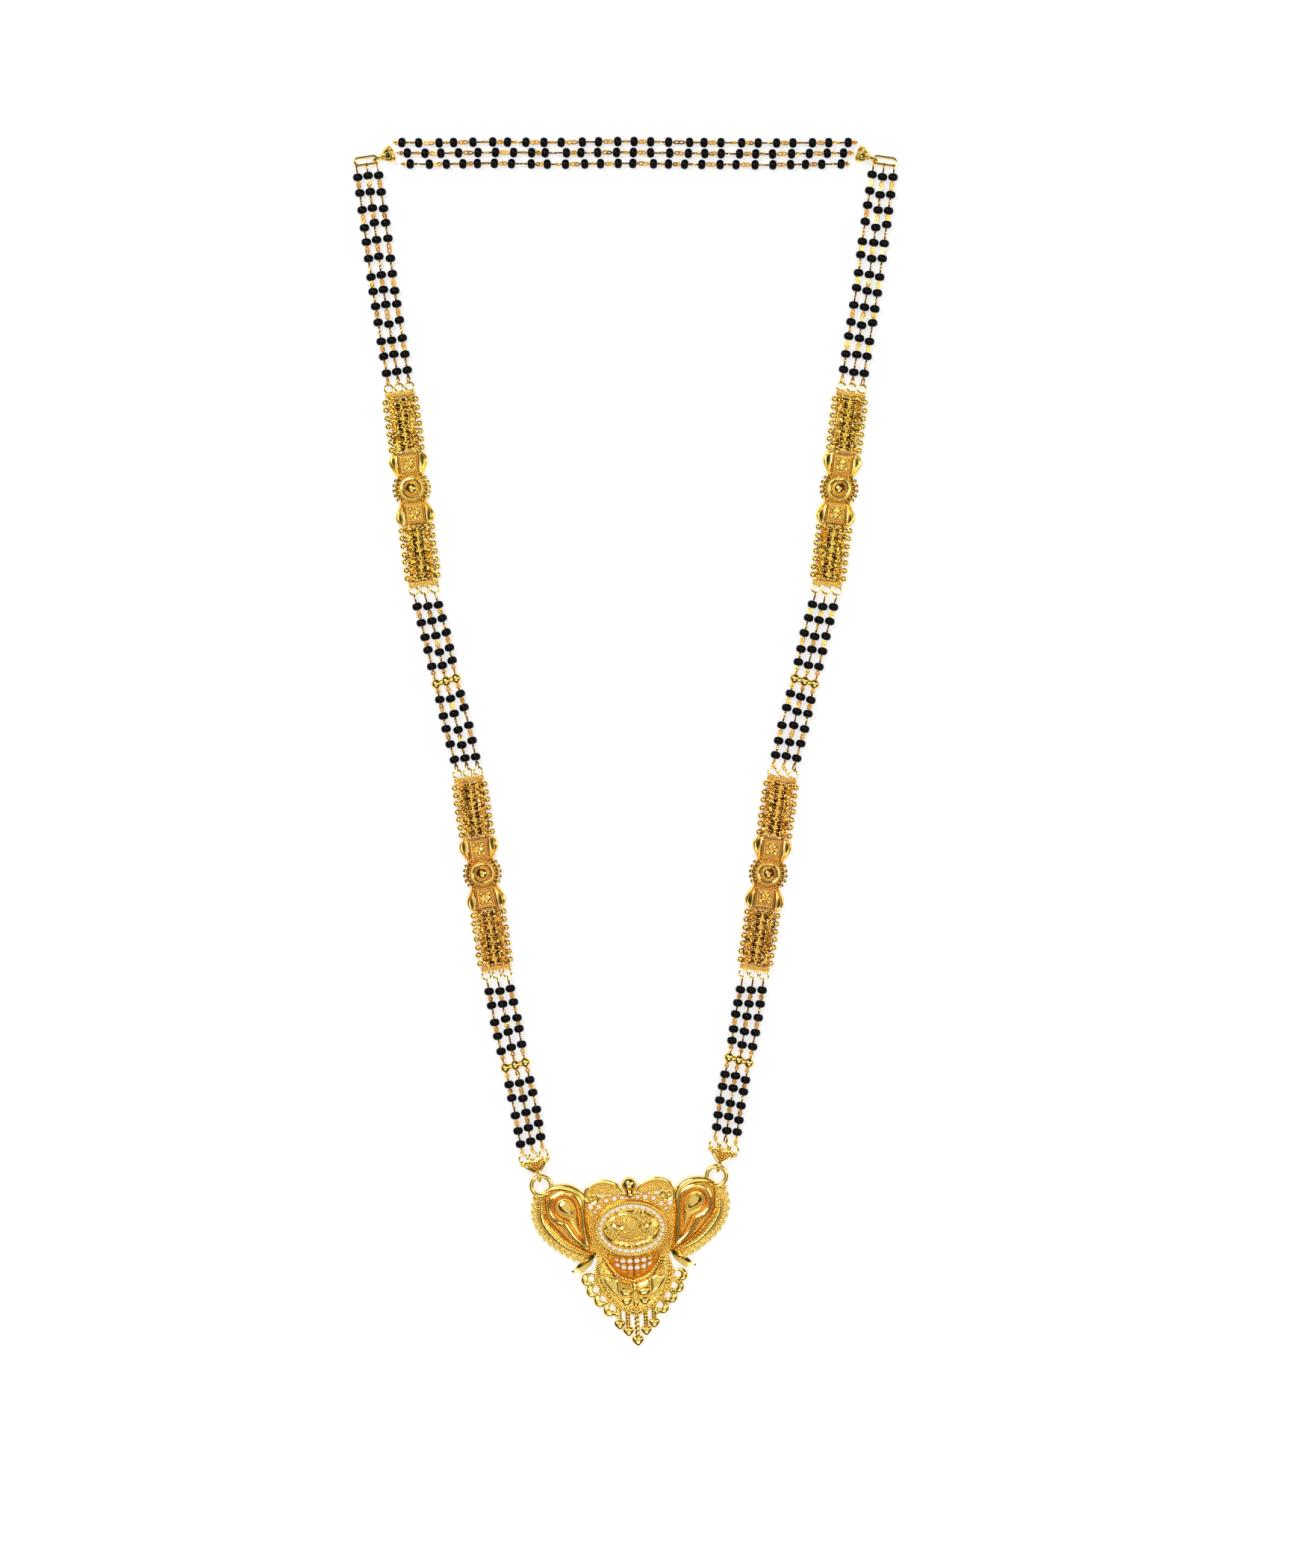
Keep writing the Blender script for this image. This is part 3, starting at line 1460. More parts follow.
@dataclass(frozen=True)
class Panel:
    """One gold panel: two bars, two woven bands and the centre casting."""

    layout: Layout
    side: Side
    level: int

    def dress(self, shop: Workshop) -> None:
        """Add the panel's five pieces to the scene.

        Args:
            shop: The workshop that makes the pieces.
        """
        lay = self.layout
        prefix = f"{('lower', 'upper')[self.level]}_{self.side.value}"
        slot = "pale_gold" if self.level == 0 else "gold"
        place = Place(lay.panel_middle(self.side, self.level), lay.panel_leans[self.level], self.side)
        motif = PanelMotif()
        bar = PanelBar().build().moved(0, lay.panel_len / 2)
        seed = 40 + 10 * self.level + (0 if self.side is Side.LEFT else 5)
        for end, turn in (("top", 0.0), ("bottom", 180.0)):
            chain = PanelChain(seed + (end == "top")).build().moved(0, motif.length / 2 + 0.15)
            names = f"{prefix}_bar_{end}", f"{prefix}_chain_{end}"
            shop.add(f"{names[0]}_cast", bar.spun(turn).placed(place), slot, names[0])
            shop.add(f"{names[1]}_weave", chain.spun(turn).placed(place), slot, names[1])
        shop.add(f"{prefix}_motif_cast", motif.build().placed(place), slot, f"{prefix}_motif", sharp=32.0)


@dataclass(frozen=True)
class EndPiece:
    """The heart between the strings and the pendant, with three loops above and the hook below."""

    layout: Layout
    side: Side
    ring_od: float = 7.0
    ring_wire: float = 1.3
    hook_wire: float = 1.0
    hook_r: float = 1.4
    hang_z: float = 1.9
    heart_w: float = 5.8

    def build(self) -> Shape:
        """Return the end piece, from the hanging ring's middle up to the loops."""
        top = (self.ring_od - self.ring_wire) / 2
        a = angles(28)
        hook_path = columns(0 * a, top + self.hook_r * np.cos(a), self.hang_z + self.hook_r * np.sin(a))
        hook = sweep(hook_path, self.hook_wire / 2, 10, True, up=(1, 0, 0))
        heart_y = top + self.hook_r + self.heart_w * 0.42
        lobe = self.heart_w / 4
        half = [(0, top + self.hook_r - 0.3), (1.75, heart_y - 1.5), (2.75, heart_y - 0.3),
                (2.6, heart_y + 1.0), (1.45, heart_y + 1.35), (0, heart_y + 0.75)]
        outline = smooth_curve(arch(half)[:-1], 5, True)
        heart = dome(outline, (0, heart_y - 0.2), 0.7, 1.6, 0.5, 3).toned(Tone.RECESS)
        rim = cord(outline, 0.36, 2.2, 8, closed=True)
        vee = cord(arch([(-1.9, heart_y + 0.3), (-0.9, heart_y - 1.2), (0, heart_y - 1.9)]), 0.26, 2.35, 6)
        lobes = ring(lobe * 0.55, 0.36, 20, 6)
        rings = lobes.scattered([[x * lobe * 0.95, heart_y, 2.4] for x in (-1, 1)])
        balls = granules(
            [[-lobe * 0.95, heart_y], [lobe * 0.95, heart_y], [0, heart_y - 0.95], [0, heart_y + 0.1]], 0.45,
            2.45)
        bar_y = self.layout.end_piece_len - self.layout.ring_off
        bow = smooth_curve([(1.6, bar_y - 0.2), (2.8, bar_y + 0.35), (3.9, bar_y + 0.1)], 4)
        arm = cord(bow, 0.45, 1.6, 8).toned(Tone.CAST).both()
        spots = [(3.05, bar_y + 0.5), (2.5, bar_y), (3.6, bar_y), (3.1, bar_y - 0.4), (4.1, bar_y + 0.35),
                 (1.9, bar_y + 0.75), (0.55, bar_y + 1.1)]
        grain = granules([*both_sides(spots), (0.0, bar_y + 0.75)], 0.42, 2.1)
        hoop = ring(1.2, 0.6, 32, 8)
        loops = hoop.scattered([[k * 3.05, self.layout.end_piece_len, 1.45] for k in (-1, 0, 1)])
        return Shape.join([hook, heart, rim, vee, rings, balls, arm, grain, loops])

    def dress(self, shop: Workshop) -> None:
        """Add the end piece to the scene.

        Args:
            shop: The workshop that makes the pieces.
        """
        place = Place(self.layout.hang_ring(self.side), self.layout.end_piece_lean, self.side)
        name = f"end_piece_{self.side.value}"
        shop.add(f"{name}_cast", self.build().placed(place), "gold", name)


@dataclass(frozen=True)
class Corner:
    """The oval link and the fluted bell cap where a side's strings meet the back strings."""

    layout: Layout
    side: Side

    def link(self) -> Shape:
        """Return the oval link round the origin."""
        lay = self.layout
        r = (lay.link_w - lay.link_wire) / 2
        half = lay.link_len / 2 - lay.link_w / 2
        a = np.linspace(-np.pi / 2, np.pi / 2, 12)
        right = columns(half + r * np.cos(a), r * np.sin(a))
        path = np.vstack([right, -right])
        return cord(evenly(path, 56, True), lay.link_wire / 2, lay.axis_z, 8, closed=True)

    def cap(self) -> Shape:
        """Return the cap along x, from its eye at the origin to its mouth."""
        lay = self.layout
        eye_r = lay.link_wire / 2 + 0.7
        start = eye_r + lay.link_wire / 2 - 0.2
        eye = ring(eye_r, lay.link_wire, 24, 8).spun(90, "x")
        length = 3.6
        wave = 1 + 0.05 * np.cos(np.linspace(0, 2 * np.pi * 12, 72, endpoint=False))
        outer = [(0.65, 0.0), (0.85, 0.25), (1.0, 0.6), (1.6, 1.3), (2.1, 2.1), (2.35, 2.9), (2.45, 3.3)]
        inner = [(2.2, 3.4), (2.05, 2.8), (1.75, 2.0), (1.2, 1.2), (0.3, 0.9)]
        bell = lathe([*outer, *inner], 72, wave)
        rim = ring(lay.cap_r - 0.25, 0.45, 48, 8).moved(0, 0, length - 0.25)
        collar = ring(0.8, 0.4, 20, 6).moved(0, 0, 0.45)
        turned_bell = Shape.join([bell, rim, collar]).spun(90, "y").moved(start, 0)
        return Shape.join([eye, turned_bell])

    def dress(self, shop: Workshop) -> None:
        """Add the link and the cap to the scene.

        Args:
            shop: The workshop that makes the pieces.
        """
        lay, name = self.layout, self.side.value
        link_place = Place(lay.corner(self.side), lay.top_lean, self.side)
        shop.add(f"corner_link_{name}_wire", self.link().placed(link_place), "gold", f"corner_link_{name}")
        cap = self.cap().spun(-lay.cap_slope, "y").moved(0, 0, lay.axis_z)
        place = Place(lay.cap_tip(self.side), lay.cap_turn, self.side)
        shop.add(f"corner_cap_{name}_bell", cap.placed(place), "gold", f"corner_cap_{name}")


@dataclass(frozen=True)
class Wing:
    """A pendant wing: a polished ridge round a ribbed paisley, a ribbed crescent and an edge of discs."""

    height: float = 3.8
    outline: Points = (
        (22.3, 13.9), (18.7, 14.1), (15.1, 12.6), (13.4, 9.4), (13.2, 4.0), (12.6, -3.0), (11.2, -5.7),
        (13.2, -7.9), (18.0, -7.2), (22.5, -4.0), (25.8, 0.0), (27.3, 4.5), (27.1, 8.4), (25.7, 11.9))
    paisley: Points = (
        (23.6, 7.6), (23.0, 9.9), (21.3, 11.4), (19.0, 11.9), (16.4, 11.1), (14.7, 9.0), (14.2, 5.5),
        (14.0, 1.5), (13.5, -2.3), (13.1, -4.4), (14.6, -3.5), (16.6, -1.5), (18.1, 0.8), (19.4, 2.8),
        (21.4, 3.7), (23.0, 5.4))
    crescent: Points = (
        (24.6, 11.6), (25.3, 9.6), (25.5, 7.0), (25.3, 4.4), (24.1, 2.0), (22.3, -0.2), (20.3, -2.3),
        (17.8, -4.2), (14.9, -5.7), (12.2, -6.7))
    discs: Points = (
        (27.4, 10.6), (28.1, 7.4), (27.9, 4.2), (26.6, 0.9), (24.2, -2.3), (20.9, -5.0), (17.6, -7.2),
        (15.0, -8.4))

    def ground(self) -> Shape:
        """Return the wing's body under its ornament."""
        return dome(smooth_curve(self.outline, 5, True), (19.5, 4.0), 0.1, 1.2, 0.7, 4).toned(Tone.CHANNEL)

    def ridge(self) -> Shape:
        """Return the smooth ridge over the top and down the inner side."""
        path = evenly(
            smooth_curve([(24.6, 12.2), (21.9, 13.3), (18.6, 13.3), (15.6, 12.0), (13.9, 9.7), (13.35, 6.0),
                          (13.1, 2.0), (12.7, -1.6), (12.0, -4.8), (11.2, -6.2)], 8), 90)
        t = np.linspace(0, 1, 90)
        width = np.interp(t, [0, 0.1, 0.25, 0.4, 0.55, 0.9, 1], [0.5, 0.8, 1.15, 1.05, 0.5, 0.5, 0.3])
        width = np.convolve(np.pad(width, 5, mode="edge"), np.ones(11) / 11, mode="valid")
        profile = [(-1, 0.0), (-0.85, 0.75), (-0.5, 1.15), (0.0, 1.3), (0.5, 1.15), (0.85, 0.75), (1, 0.0)]
        return band(path, width, profile, self.height - 1.9, 0.5, rises=0.55 + 0.4 * width)

    def leaf(self) -> Shape:
        """Return the paisley: its rim, its ribbed band and its two-facet teardrop."""
        count = 480
        outline = evenly(smooth_curve(self.paisley, 8, True), count, True)
        spine = smooth_curve([(19.2, 7.7), (18.1, 6.2), (16.9, 3.9), (15.6, 0.8), (14.3, -2.2)], 12)
        near = np.array([spine[np.argmin(np.linalg.norm(spine - q, axis=1))] for q in outline])
        smoothed = [np.convolve(np.tile(line, 3), np.ones(41) / 41, mode="same") for line in near.T]
        near = columns(*smoothed)[count:2 * count]
        reach = np.linalg.norm(near - outline, axis=1)
        steps = [(0.35, 0.95, 0), (0.5, 1.3, 0), (0.62, 1.4, 1), (1.0, 1.5, 1), (1.45, 1.48, 1),
                 (1.9, 1.3, 1), (2.1, 1.0, 0), (2.6, 0.85, 0), (6.0, 0.8, 0)]
        base = self.height - 1.9
        ribs = np.abs(np.sin(np.pi * np.linspace(0, 96, count, endpoint=False)))
        rows, tones = [lifted(outline, 0.8)], [np.full(count, 0.5)]
        for depth, z, ribbed in steps:
            share = (0.97 * np.tanh(depth / reach))[:, None]
            flat = outline + (near - outline) * share
            rows.append(columns(flat, base + z - 0.3 * (1 - ribs) * ribbed))
            tones.append(0.85 * (1 - ribs) if ribbed else np.full(count, 0.36 if 1.95 < depth < 3 else 0.06))
        frill = grid(np.stack(rows)).painted(np.concatenate(tones))
        rim = cord(evenly(outline, 150, True), 0.5, base + 1.3, 8, closed=True)
        inner = smooth_curve([(16.4, 4.4), (16.2, 7.2), (17.3, 9.4), (19.3, 10.2), (21.2, 9.3), (21.7, 7.3),
                              (20.4, 5.8), (18.5, 5.0)], 5, True)
        lip = cord(inner, 0.2, base + 1.05, 6, closed=True)
        tail, tip = np.array([17.0, 5.3]), np.array([20.5, 8.6])
        edge = smooth_curve([tip, (19.4, 9.35), (18.0, 8.7), (17.1, 7.1), tail, (18.6, 5.75), (19.9, 6.4),
                             (20.8, 7.4)], 5, True)
        ahead = (tip - tail) / np.linalg.norm(tip - tail)
        along = (edge - tail) @ ahead
        upper = (edge - tail) @ np.array([-ahead[1], ahead[0]]) > 0
        share = np.clip(along / np.linalg.norm(tip - tail), 0.05, 0.95)
        keel = tail + (tip - tail) * share[:, None] + np.array([0.32, -0.36]) * np.sin(np.pi * share)[:, None]
        rise = np.sin(np.pi * share) ** 0.5
        rows = [lifted(edge, base + 0.6), columns(edge, base + 1.2 + 0.6 * upper * rise),
                columns(edge * 0.15 + keel * 0.85, base + 1.32 + (0.6 + 0.09 * upper) * rise),
                columns(keel, base + 1.35 + 0.7 * rise)]
        shade = np.where(upper, 0.0, 0.93)
        drop = grid(np.stack(rows)).painted(np.concatenate([shade, shade, shade, 0 * shade]))
        return Shape.join([frill, rim, lip, drop])

    def stripe(self) -> Shape:
        """Return the crescent, ribbed on its inner half and smooth on its outer half."""
        path = evenly(smooth_curve(self.crescent, 8), 330)
        t = np.linspace(0, 1, 330)
        width = np.interp(t, [0, 0.08, 0.25, 0.5, 0.75, 0.9, 1], [0.4, 0.8, 1.3, 1.6, 1.35, 0.95, 0.5])
        width = np.convolve(np.pad(width, 20, mode="edge"), np.ones(41) / 41, mode="valid")
        profile = [(-1, 0.5), (-0.85, 0.85), (-0.65, 1.02), (-0.4, 1.1), (-0.15, 1.12), (0.1, 1.12),
                   (0.2, 1.1), (0.45, 1.03), (0.75, 0.88), (0.93, 0.62), (1, 0.3)]
        body = band(path, width, profile, self.height - 1.8, 0.5, ribs=44, rib_h=0.3, ribbed=(-1.0, 0.25),
                    slant=0.6, shade=(1.0, 0.3))
        row = evenly(smooth_curve([(24.1, 10.6), (24.2, 8.4), (23.8, 5.6), (21.9, 3.0), (19.8, 1.0),
                                   (18.0, -1.4), (15.6, -3.7), (12.9, -5.3)], 8), 60)
        beads = [
            milgrain(row - flat_normals(row) * shift, size, self.height - 1.6, spacing=2.05).toned(Tone.CAST)
            for shift, size in ((-0.45, 0.24), (0.0, 0.27), (0.45, 0.24))]
        return Shape.join([body, *beads])

    def border(self) -> Shape:
        """Return the granulated border and the flat discs along the outer edge."""
        path = evenly(smooth_curve(self.discs, 8), 120)
        inward = path + flat_normals(path) * -1.35
        rows = [milgrain(inward, 0.34, 1.75, spacing=2.1).toned(Tone.CAST),
                milgrain(inward + flat_normals(path) * 0.55, 0.26, 1.35, spacing=2.2).toned(Tone.CAST),
                cord(inward - flat_normals(path) * 0.42, 0.2, 1.6, 6)]
        coin = lathe(
            [(0.05, 0.5), (1.0, 0.5), (1.0, 1.4), (0.9, 1.55), (0.72, 1.55), (0.65, 1.5), (0.05, 1.54)], 24)
        rows.append(coin.scattered(lifted(evenly(path, 13), 0.0)))
        return Shape.join(rows)

    def root_leaf(self) -> Shape:
        """Return the two folded leaves that curl out under the wing's root."""
        folds = (
            ([(10.7, -6.4), (12.4, -6.9), (14.2, -8.4)], [(10.7, -6.4), (11.7, -8.0), (14.2, -8.4)],
             (0.3, 0.25), 2.1, 0.1),
            ([(11.4, -7.9), (13.9, -8.7), (15.7, -9.2), (17.1, -10.5), (18.0, -11.5)],
             [(11.4, -7.9), (12.2, -9.5), (13.5, -10.7), (15.3, -11.9), (18.0, -11.5)],
             (0.25, 0.3), 1.6, 0.5),
        )
        leaves = []
        for top, under, shift, base, fall in folds:
            upper, lower = evenly(smooth_curve(top, 8), 30), evenly(smooth_curve(under, 8), 30)
            keel = (upper + lower) / 2 + np.array(shift)
            swell = np.sin(np.pi * np.linspace(0.03, 0.97, 30)) ** 0.6
            rows = [lifted(lower, 0.5), columns(lower, base + fall * swell),
                    columns(keel, base + 0.75 * swell), lifted(upper, base), lifted(upper, 0.5)]
            leaves.append(grid(np.stack(rows, axis=1)))
        return Shape.join(leaves)

    def build(self) -> Shape:
        """Return the right wing."""
        return Shape.join(
            [self.ground(), self.ridge(), self.leaf(), self.stripe(), self.border(), self.root_leaf()])


@dataclass(frozen=True)
class Crest:
    """The scroll beside the top ball, granulated inside its smooth rim, ending in a curl."""

    def build(self) -> Shape:
        """Return the right scroll."""
        top = smooth_curve([(1.9, 11.2), (3.5, 13.2), (5.5, 14.2), (7.6, 14.6), (10.0, 14.2), (12.0, 13.0),
                            (13.0, 11.4), (13.1, 9.8), (12.4, 8.6), (11.2, 8.1), (9.9, 8.6), (9.2, 9.8),
                            (9.7, 10.9)], 6)
        under = smooth_curve([(2.0, 10.7), (4.5, 10.8), (6.8, 11.3), (8.5, 11.5), (9.7, 10.9)], 6)
        outline = np.vstack([top[::-1], under[:-1]])
        body = plate(anticlockwise(outline), 0.5, 2.12).toned(Tone.CAST)
        rim = cord(evenly(top, 90), 0.4, 2.25, 8)
        lip = cord(evenly(under, 24), 0.28, 2.2, 6)
        groove = cord(
            evenly(smooth_curve([(3.9, 12.3), (6.0, 13.2), (8.0, 13.5), (10.2, 13.0), (11.6, 11.9),
                                 (12.1, 10.8)], 6), 40), 0.3, 2.3, 6)
        random = np.random.default_rng(5)
        field = ((2.0, 8.4), (12.6, 12.9))
        spots = strewn(random, 560, field, lambda spot: inside(spot, outline), 0.46, 2)
        grain = granules(spots, random.uniform(0.22, 0.32, len(spots)), 2.2).toned(Tone.CAST)
        curl = granules([(11.3, 9.4), (10.6, 10.4), (11.9, 10.5)], 0.58, 2.4)
        swirl = cord(
            smooth_curve([(12.3, 9.4), (11.3, 8.8), (10.2, 9.4), (10.0, 10.6), (11.0, 11.2)], 6), 0.2, 2.4, 6)
        return Shape.join([body, rim, lip, groove, grain, curl, swirl])


@dataclass(frozen=True)
class Medallion:
    """The pierced oval: a milgrain rim, posts between its holes and a domed relief."""

    width: float = 21.2
    height: float = 16.0
    top: float = 4.4
    rise: float = 2.0
    posts: int = 30

    def border(self) -> Shape:
        """Return the rims and the posts between the holes."""
        w, h, z = self.width, self.height, self.top
        rings = [
            milgrain(oval(w - 0.7, h - 0.7, 120), 0.36, z + 0.25, closed=True),
            cord(oval(w - 1.55, h - 1.55, 110), 0.2, z + 0.1, 6, closed=True),
            cord(oval(w - 0.6, h - 0.6, 110), 0.34, z - 0.35, 6, closed=True, flat=1.6).toned(Tone.CAST),
            milgrain(oval(w - 4.9, h - 4.9, 110), 0.24, z + 0.2, closed=True),
            cord(oval(w - 4.35, h - 4.35, 100), 0.18, z, 6, closed=True)]
        a = (np.arange(self.posts) * 2 * np.pi) / self.posts
        outer = columns((w - 1.6) / 2 * np.cos(a), (h - 1.6) / 2 * np.sin(a))
        inner = columns((w - 4.2) / 2 * np.cos(a), (h - 4.2) / 2 * np.sin(a))
        for p, q in zip(outer, inner):
            post = np.array([[*p, z - 0.1], [*((p + q) / 2), z + 0.05], [*q, z - 0.1]])
            rings.append(sweep(post, 0.3, 6, flat=1.1))
            rings.append(granules([p * 0.55 + q * 0.45], 0.36, z + 0.2))
        wall = np.stack(
            [lifted(oval(w - 0.5, h - 0.5, 72), 0.6), lifted(oval(w - 0.4, h - 0.4, 72), z - 0.4),
             lifted(oval(w - 0.9, h - 0.9, 72), z - 0.4), lifted(oval(w - 0.9, h - 0.9, 72), 0.6)])
        rings.append(grid(wall, along=True).toned(Tone.RECESS))
        return Shape.join(rings)

    def ground(self) -> Shape:
        """Return the domed ground of the relief, stippled with fine grains."""
        outline = oval(self.width - 4.8, self.height - 4.8, 64)
        ground = dome(outline, (0, 0), self.top - 1.2, self.top + 0.4, self.rise - 0.7, 8)
        random = np.random.default_rng(11)
        spots = random.uniform(-1, 1, (460, 2))
        reach = np.array([self.width - 5.0, self.height - 5.0])
        spots = spots[np.linalg.norm(spots, axis=1) < 0.95] * reach / 2
        places = columns(spots, self._height(spots) + 0.02)
        grain = lathe([(1.0, -0.5), (0.8, 0.5), (0.3, 0.85)], 6)
        return Shape.join([ground, grain.scattered(places, sizes=random.uniform(0.12, 0.2, len(places)))])

    def _on_dome(self, path: Rows, steps: int, radius: float | Sequence[float], lift: float = 0.14) -> Shape:
        """Return a wire that follows the dome, with one radius or one for each given point.

        Args:
            path: The flat points that it passes.
            steps: Pieces between each two points.
            radius: One radius, or one for each point.
            lift: Its height over the dome.

        Returns:
            The wire.
        """
        flat = smooth_curve(path, steps)
        if np.isscalar(radius):
            radii = np.full(len(flat), radius * 1.25)
        else:
            radii = np.interp(np.arange(len(flat)) / steps, np.arange(len(radius)), radius) * 1.25
        return sweep(columns(flat, self._height(flat) + lift), radii, 6)

    def _height(self, flat: Array) -> Array:
        """Return the dome's height at flat points."""
        reach = (2 * flat[:, 0] / (self.width - 4.8)) ** 2 + (2 * flat[:, 1] / (self.height - 4.8)) ** 2
        return self.top + 0.4 + (self.rise - 0.7) * np.sqrt(np.clip(1 - reach, 0, 1))

    def bird(self) -> Shape:
        """Return the right bird, with its neck, crown, wing and tail feathers."""
        curves = (
            ([(2.3, 0.9), (3.2, 0.5), (4.4, 0.8), (5.1, 1.7), (4.6, 2.6), (3.9, 3.2)], 5,
             (0.4, 0.8, 0.78, 0.5, 0.4, 0.42), 0.2),
            ([(4.7, 3.6), (4.1, 4.2), (3.2, 3.9), (3.0, 3.1), (3.7, 2.7), (4.2, 3.2)], 5, 0.24, 0.25),
            ([(3.0, 3.3), (2.4, 3.0)], 3, (0.3, 0.12), 0.2),
            ([(3.2, 1.4), (2.4, 2.1), (1.9, 1.6)], 4, (0.32, 0.26, 0.14)),
        )
        parts = [self._on_dome(*curve) for curve in curves]
        for i in range(6):
            end = (7.2 - i * 0.3, 2.3 - i * 0.85)
            parts.append(self._on_dome([(4.3, 0.5), (5.6, 0.9 - 0.4 * i), end], 4, (0.2, 0.3, 0.24)))
            tip = np.array([end])
            parts.append(granules(tip, 0.34, float(self._height(tip)[0]) + 0.12))
        for i in range(3):
            parts.append(self._on_dome([(4.0, 4.1), (4.0 + 0.45 * (i - 1), 4.9)], 3, (0.1, 0.16)))
        for i in range(4):
            parts.append(self._on_dome([(3.0 + 0.4 * i, 0.9), (3.5 + 0.45 * i, 1.5), (4.4 + 0.3 * i, 1.7)], 3,
                                       (0.1, 0.14, 0.1), 0.42).toned(Tone.CHANNEL))
        parts.append(self._on_dome([(5.4, 3.3), (6.0, 3.9), (6.6, 3.2), (6.1, 2.6), (5.5, 2.9)], 4, 0.22))
        parts.append(self._on_dome([(6.9, 2.9), (7.5, 2.0), (7.9, 0.9)], 4, 0.18))
        return Shape.join(parts)

    def relief(self) -> Shape:
        """Return the relief: two facing birds, a lotus, a boat, vines and a heart."""
        parts = [self.bird().both()]
        for i in range(-3, 4):
            parts.append(self._on_dome([(0.25 * i, 0.3), (0.5 * i, 2.0), (0.62 * i, 4.1 - 0.3 * abs(i))], 4,
                                       (0.18, 0.36, 0.15), 0.2))
        parts.append(
            self._on_dome([(0, -0.7), (1.1, -0.1), (1.9, 1.2), (2.2, 2.4)], 5, (0.2, 0.34, 0.3, 0.14)).both())
        parts.append(self._on_dome(arch([(-5.0, 0.1), (-4.0, -1.7), (-2.0, -2.7), (0, -3.0)]), 6, 0.34, 0.2))
        for y, reach in ((-0.75, 4.4), (-1.25, 4.2)):
            parts.append(
                self._on_dome(arch([(-reach, y + 0.45), (-reach / 2, y - 0.1), (0, y - 0.3)]), 6, 0.17))
        for x in np.linspace(-3.4, 3.4, 16):
            parts.append(
                self._on_dome([(x, -1.45 + 0.02 * x * x), (x * 0.95, -2.65 + 0.075 * x * x)], 2, 0.17))
        vines = (
            ([(0, -3.9), (0.6, -3.5), (1.15, -4.0), (0, -5.3)], 5, 0.22),
            ([(0.2, -4.1), (0.5, -4.3), (0, -4.8)], 4, 0.2),
            ([(1.5, -3.8), (3.0, -3.3), (4.8, -3.0), (6.2, -2.0), (7.4, -1.0), (7.8, 0.3)], 6, 0.2),
            ([(1.6, -5.2), (2.6, -4.4), (3.9, -4.7), (2.8, -5.2)], 5, 0.18),
            ([(4.2, -4.6), (5.2, -3.8), (6.1, -3.4)], 5, (0.12, 0.26, 0.12)),
            ([(0.6, 4.6), (1.7, 5.2), (2.6, 4.9), (2.2, 4.3)], 5, 0.18),
        )
        parts += [self._on_dome(*vine).both() for vine in vines]
        spots = both_sides(
            [(1.8, -3.5), (2.4, -3.9), (3.9, -3.8), (5.3, -2.8), (1.0, 4.9), (0.0, 4.7), (6.6, -0.6),
             (5.6, -0.9), (5.1, 4.6), (0.0, -3.6), (2.0, 3.2), (6.9, -1.7)])
        parts.append(ball(0.28, 8, 5).scattered(columns(spots, self._height(spots) + 0.1)))
        return Shape.join(parts)

    def build(self) -> tuple[Shape, Shape]:
        """Return the border and the domed relief."""
        return self.border().moved(0, 0.4), Shape.join([self.ground(), self.relief()]).moved(0, 0.4)


@dataclass(frozen=True)
class Body:
    """The pierced plate behind the medallion, with its filigree of small rings and grains."""

    outline: Points = (
        (2.6, 10.4), (7.0, 11.4), (12.4, 10.1), (13.2, 4.0), (12.7, -3.4), (11.5, -6.9), (8.8, -8.6),
    )
    holes: tuple[tuple[float, float, float], ...] = (
        (0.75, 9.3, 0.45), (2.3, 9.3, 0.55), (4.5, 9.15, 0.7), (6.9, 8.7, 0.62), (9.1, 7.1, 0.62),
        (11.6, 7.1, 0.78), (10.4, 5.6, 0.45), (5.7, 10.2, 0.4), (3.4, 10.1, 0.36),
    )

    def build(self) -> Shape:
        """Return the plate with its filigree."""
        edge = smooth_curve(self.outline, 5)
        outline = np.vstack([edge, edge[::-1] * MIRROR])[::-1]
        both = both_sides(self.holes)
        slit = oval(1.9, 0.8, 12, (8.0, 10.25))
        holes = [oval(20.2, 15.0, 60, (0, 0.4)), slit, slit * MIRROR]
        holes += [oval(2 * r, 2 * r, 10, (x, y)) for x, y, r in both]
        sheet = plate(outline, 0.8, 1.9, holes)
        sheet = sheet.painted(np.interp(np.abs(sheet.points[:, 0]), [9.0, 12.5], [0.25, 0.6]))
        collar = ring(1.0, 0.4, 18, 6).toned(Tone.CAST)
        rings = collar.scattered(lifted(both, 1.95), sizes=both[:, 2] + 0.14)
        random = np.random.default_rng(7)

        def clear(spot: Array) -> bool:
            """Return whether a spot is on the metal.

            Args:
                spot: The flat spot.

            Returns:
                Whether a grain may lie there.
            """
            hole = (spot[0] / 10.75) ** 2 + ((spot[1] - 0.4) / 8.15) ** 2 <= 1.0
            slot = (abs(spot[0] - 8.0) / 1.15) ** 2 + (abs(spot[1] - 10.25) / 0.6) ** 2 <= 1.0
            free = np.min(np.linalg.norm(both[:, :2] - spot, axis=1) - both[:, 2]) > 0.3
            return not hole and not slot and free and inside(spot, outline)

        more = strewn(random, 3200, ((0.3, -8.0), (13.1, 11.0)), clear, 0.62)
        size = np.tile(random.uniform(0.22, 0.38, len(more)), 2)
        pairs = both_sides(more)
        high = np.arange(len(pairs)) % 3 == 0
        grain = Shape.join([granules(pairs[high], size[high], 2.05),
                            granules(pairs[~high], size[~high], 1.95).toned(Tone.CAST)])
        course = smooth_curve([(12.9, 9.2), (12.9, 4.0), (12.5, -2.0), (11.6, -5.8)], 6)
        rail = cord(course, 0.22, 2.05, 6).toned(Tone.CHANNEL).both()
        return Shape.join([sheet, rings, grain, rail])


